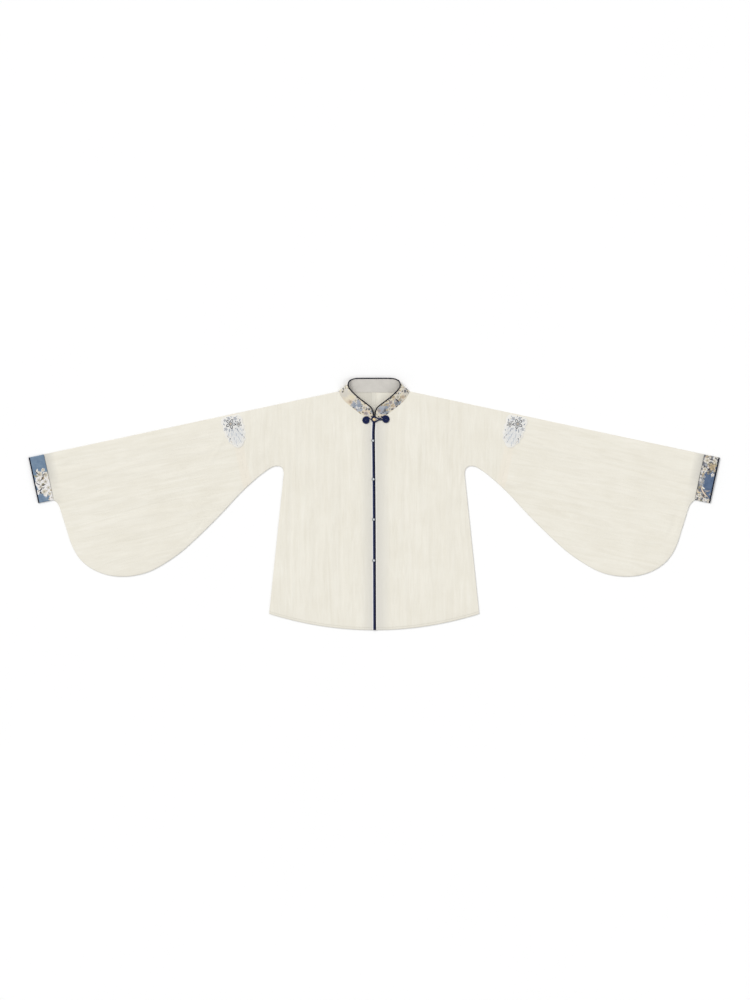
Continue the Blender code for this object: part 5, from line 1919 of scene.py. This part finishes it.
# Rows of long fern strokes that spread from above. Columns: depth, half width of the row,
# count, length, half width of a stroke, spread in degrees, threads in turn
PATCH_FERNS = (
    (44.0, 18.0, 11, 12.0, 1.1, 22.0, ("white", "ice", "white", "slate", "white")),
    (55.0, 17.0, 12, 14.0, 1.2, 20.0, ("white", "white", "ice")),
    (66.0, 16.0, 10, 13.0, 1.2, 24.0, ("ice", "white", "white")),
    (76.0, 10.0, 7, 11.0, 1.1, 26.0, ("white", "ice", "white")),
)

# Parts of a flower's petal, in shares of its length. Columns: start, length, half width. A last
# column is the rise of its stitches in millimetres
PETAL_UNDER = (0.18, 1.00, 0.38, 0.18)
PETAL_OVER = (0.36, 0.60, 0.20, 0.62)
EYE_STITCH = (-0.20, 0.40, 0.20, 0.90)


def thread_material(name, colour):
    """Satin stitch: fine parallel threads that run across the shape, with a soft gloss."""
    material, tree, shader = new_material(f"{name} embroidery thread")
    laid = laid_place(tree)
    along = add_node(tree, "SeparateXYZ", {0: laid}).outputs[0]
    wander = clouds(tree, laid, 700.0, 2.0)
    turns = add_up(tree, (wander, 3.0), (along, 2.0 * math.pi / STRAND_PITCH))
    strand = compute(tree, "MULTIPLY_ADD", compute(tree, "SINE", turns), 0.5, 0.5)
    fill_inputs(tree, shader, {
        "Base Color": mix_colours(tree, strand, times(colour, 0.62), colour),
        "Roughness": compute(tree, "MULTIPLY_ADD", wander, *STRAND_ROUGH),
        "Normal": relief(tree, strand, *STRAND_RELIEF),
        "Sheen Weight": 0.2,
    })
    return material


def patch_cloth():
    """Pale cotton of the patch, clouded with blue grey away from its edge."""
    material, tree, shader = new_material("patch cloth")
    place = object_place(tree)
    threads = use_group(tree, weave, {"Place": place, "Pitch": PATCH_PITCH})
    cloud = clouds(tree, place, 130.0, 5.0)
    cloudy = compute(tree, "MULTIPLY_ADD", ramp(tree, cloud, 5.0, -2.2), 0.5, 0.3)
    inner = fade(tree, edge_value(tree, "edge"), *INNER_TINT)
    tinted = compute(tree, "MULTIPLY", inner, cloudy)
    height = compute(tree, "MULTIPLY_ADD", threads["Height"], 0.6, cloud)
    fill_inputs(tree, shader, {
        "Base Color": mix_colours(tree, tinted, PATCH_GROUND, PATCH_TINT),
        "Roughness": 0.7,
        "Normal": relief(tree, height, *PATCH_RELIEF),
    })
    return material


def heading_at(degrees):
    """Way in plan at an angle."""
    return Vector((math.cos(math.radians(degrees)), math.sin(math.radians(degrees))))


def stitch_shape(mesh, ground, side, start, length, half_width, turn, thread, rise=FULL_STITCH):
    """One leaf or petal in satin stitch, crowned, which starts at a place on the patch."""
    along, across = STITCH_GRID
    made = bmesh.ops.create_grid(
        mesh, x_segments=along, y_segments=across, size=0.5, calc_uvs=False
    )["verts"]
    laid = mesh.loops.layers.uv["laid"]
    heading = heading_at(turn)
    across = Vector((-heading.y, heading.x))
    plan = {}
    for vertex in made:
        share = vertex.co.x + 0.5
        lateral = 2.0 * vertex.co.y
        place = STITCH_TIP + (1.0 - STITCH_TIP - STITCH_TAIL) * share
        swell = math.sin(math.pi * place) ** STITCH_FULLNESS
        crown = swell * (1.0 - lateral**2)
        plan[vertex] = (share * length, lateral * half_width * swell, crown)
    for face in {face for vertex in made for face in vertex.link_faces}:
        face.material_index = thread_names.index(thread)
        for loop in face.loops:
            loop[laid].uv = (plan[loop.vert][0] * MM, plan[loop.vert][1] * MM)
    for vertex, (along, lateral, crown) in plan.items():
        offset, depth = start + heading * along + across * lateral
        point = sleeve_point(SLEEVE_SEAM + patch_lean(depth) + offset, depth)
        height = height_on(ground, side * point.x, point.y) - STITCH_SUNK + rise * crown
        vertex.co = (side * point.x * MM, point.y * MM, height * MM)


def work_part(mesh, ground, side, middle, length, turn, thread, part):
    """One part of a flower: a petal's outline, the petal over it, or the eye."""
    start, reach, half_width, rise = part
    place = Vector(middle) + heading_at(turn) * start * length
    stitch_shape(
        mesh, ground, side, place, reach * length, half_width * length, turn, thread, rise
    )


def patch_lean(depth):
    """How far the patch leans towards the cuff at a depth below the fold."""
    return PATCH_LEAN * (1.0 - depth / PATCH_ROWS[-1][0])


patch_ground = patch_cloth()
thread_materials = {name: thread_material(name, colour) for name, colour in THREADS.items()}
thread_names = list(THREADS)
half_outline = smooth_line(PATCH_ROWS, PATCH_OUTLINE_STEPS)
for word, side in SIDES.items():
    outline = []
    for half, way in ((half_outline, 1.0), (half_outline[::-1], -1.0)):
        for depth, half_width in half:
            outline.append(sleeve_point(SLEEVE_SEAM + patch_lean(depth) + way * half_width, depth))
    cloth = cut_cloth([(side * x, y) for x, y in outline], PATCH_BANDS, PATCH_STEP)
    cut_area = sum(face.calc_area() for face in cloth.faces)
    border = near(outline + outline[:1])
    keep_distances(cloth, edge=lambda x, y: away(border, side * x, y))
    under = faces_of(f"patch_{word}")
    for vertex in cloth.verts:
        x = vertex.co.x / MM
        y = vertex.co.y / MM
        rolled = PATCH_DROP * (1.0 - ease(away(border, side * x, y) / PATCH_ROLL))
        vertex.co.z = (height_on(under, x, y) - rolled) * MM
    smooth_heights(cloth, cloth.verts[:], PATCH_SMOOTHING)
    ground = [BVHTree.FromBMesh(cloth)]
    stitches = bmesh.new()
    stitches.loops.layers.uv.new("laid")
    for offset, depth, length, petals, turn, thread, outline_thread in PATCH_FLOWERS:
        for petal in range(petals):
            angle = turn + 360.0 * petal / petals
            for colour, part in ((outline_thread, PETAL_UNDER), (thread, PETAL_OVER)):
                work_part(stitches, ground, side, (offset, depth), length, angle, colour, part)
        work_part(stitches, ground, side, (offset, depth), length, 0.0, "tan", EYE_STITCH)
    for depth, row_half, count, length, half_width, spread, threads in PATCH_FERNS:
        for index in range(count):
            share = 2.0 * index / (count - 1) - 1.0
            uneven = noise.noise(Vector((depth, FERN_NOISE_STEP * index, side)))
            more_turn, shift, more_length = (uneven * reach for reach in FERN_UNEVEN)
            turn = 90.0 - spread * share + more_turn
            start = Vector((row_half * share, depth - FERN_START * length + shift))
            stroke = length * (1.0 + more_length)
            thread = threads[index % len(threads)]
            stitch_shape(
                stitches, ground, side, start, stroke, half_width, turn, thread, FLAT_STITCH
            )
    for offset, depth, length, half_width, turn, thread in PATCH_STROKES:
        start = Vector((offset, depth)) - heading_at(turn) * length / 2
        stitch_shape(stitches, ground, side, start, length, half_width, turn, thread)
    bmesh.ops.recalc_face_normals(stitches, faces=stitches.faces)
    down_faces = [face for face in stitches.faces if face.normal.z < 0.0]
    bmesh.ops.reverse_faces(stitches, faces=down_faces)
    embroidery = finish_piece(f"embroidery_{word}", stitches, list(thread_materials.values()), 0.0)
    middle = sleeve_point(SLEEVE_SEAM + PATCH_MIDDLE[0], PATCH_MIDDLE[1])
    inner = [point.lerp(middle, PATCH_STITCH_SHARE) for point in outline + outline[:1]]
    inner = [Vector((side * x, y)) for x, y in inner]
    thread = sew(f"stitches_patch_{word}", inner, ground, THREAD_PALE)
    piece = finish_piece(f"cloth_patch_{word}", cloth, [patch_ground], PATCH_CLOTH)
    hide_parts(f"patch_{word}")


# The stage: a plain pale floor under soft studio light, seen straight from above as in a flat
# lay picture. It is no part of the jacket.
FLOOR_SIZE = 12.0
FLOOR_DROP = 0.4
FLOOR_TONES = ((0.90, 0.90, 0.90), (0.91, 0.91, 0.91))
SKY_STRENGTH = 0.55
CAMERA_PLACE = (0.0021, 0.0101, 14.444)
CAMERA_LENS = 200.0

floor_grid = bmesh.new()
bmesh.ops.create_grid(floor_grid, x_segments=2, y_segments=2, size=FLOOR_SIZE)
mesh = bpy.data.meshes.new("floor")
floor_grid.to_mesh(mesh)
floor_grid.free()
floor_material, tree, shader = new_material("floor")
cloud = clouds(tree, object_place(tree), 3.0, 2.0)
fill_inputs(tree, shader, {
    "Base Color": mix_colours(tree, cloud, *FLOOR_TONES),
    "Roughness": 0.9,
})
mesh.materials.append(floor_material)
floor = add_object("floor", mesh)
floor.location.z = -FLOOR_DROP * MM

world = bpy.data.worlds.new("studio")
bpy.context.scene.world = world
world.use_nodes = True
background = world.node_tree.nodes["Background"].inputs
background["Color"].default_value = (1.0, 1.0, 1.0, 1.0)
background["Strength"].default_value = SKY_STRENGTH
bpy.context.scene.view_settings.view_transform = "Standard"

# Wide, soft suns, so that the light is even over the sleeves. Columns: name, the side that the
# light comes from, angle that it takes up in degrees, power
LIGHTS = (
    ("key light", (-2.0, 1.9, 2.9), 32.0, 1.78),
    ("fill light", (2.4, -1.2, 2.8), 50.0, 0.64),
)
for name, place, width, power in LIGHTS:
    lamp = bpy.data.lights.new(name, "SUN")
    lamp.angle = math.radians(width)
    lamp.energy = power
    light = add_object(name, lamp)
    light.location = place
    light.rotation_euler = (-Vector(place)).to_track_quat("-Z", "Y").to_euler()

lens = bpy.data.cameras.new("camera")
lens.lens = CAMERA_LENS
lens.sensor_width = 36.0
lens.clip_end = 50.0
camera = add_object("camera", lens)
camera.location = CAMERA_PLACE
bpy.context.scene.camera = camera
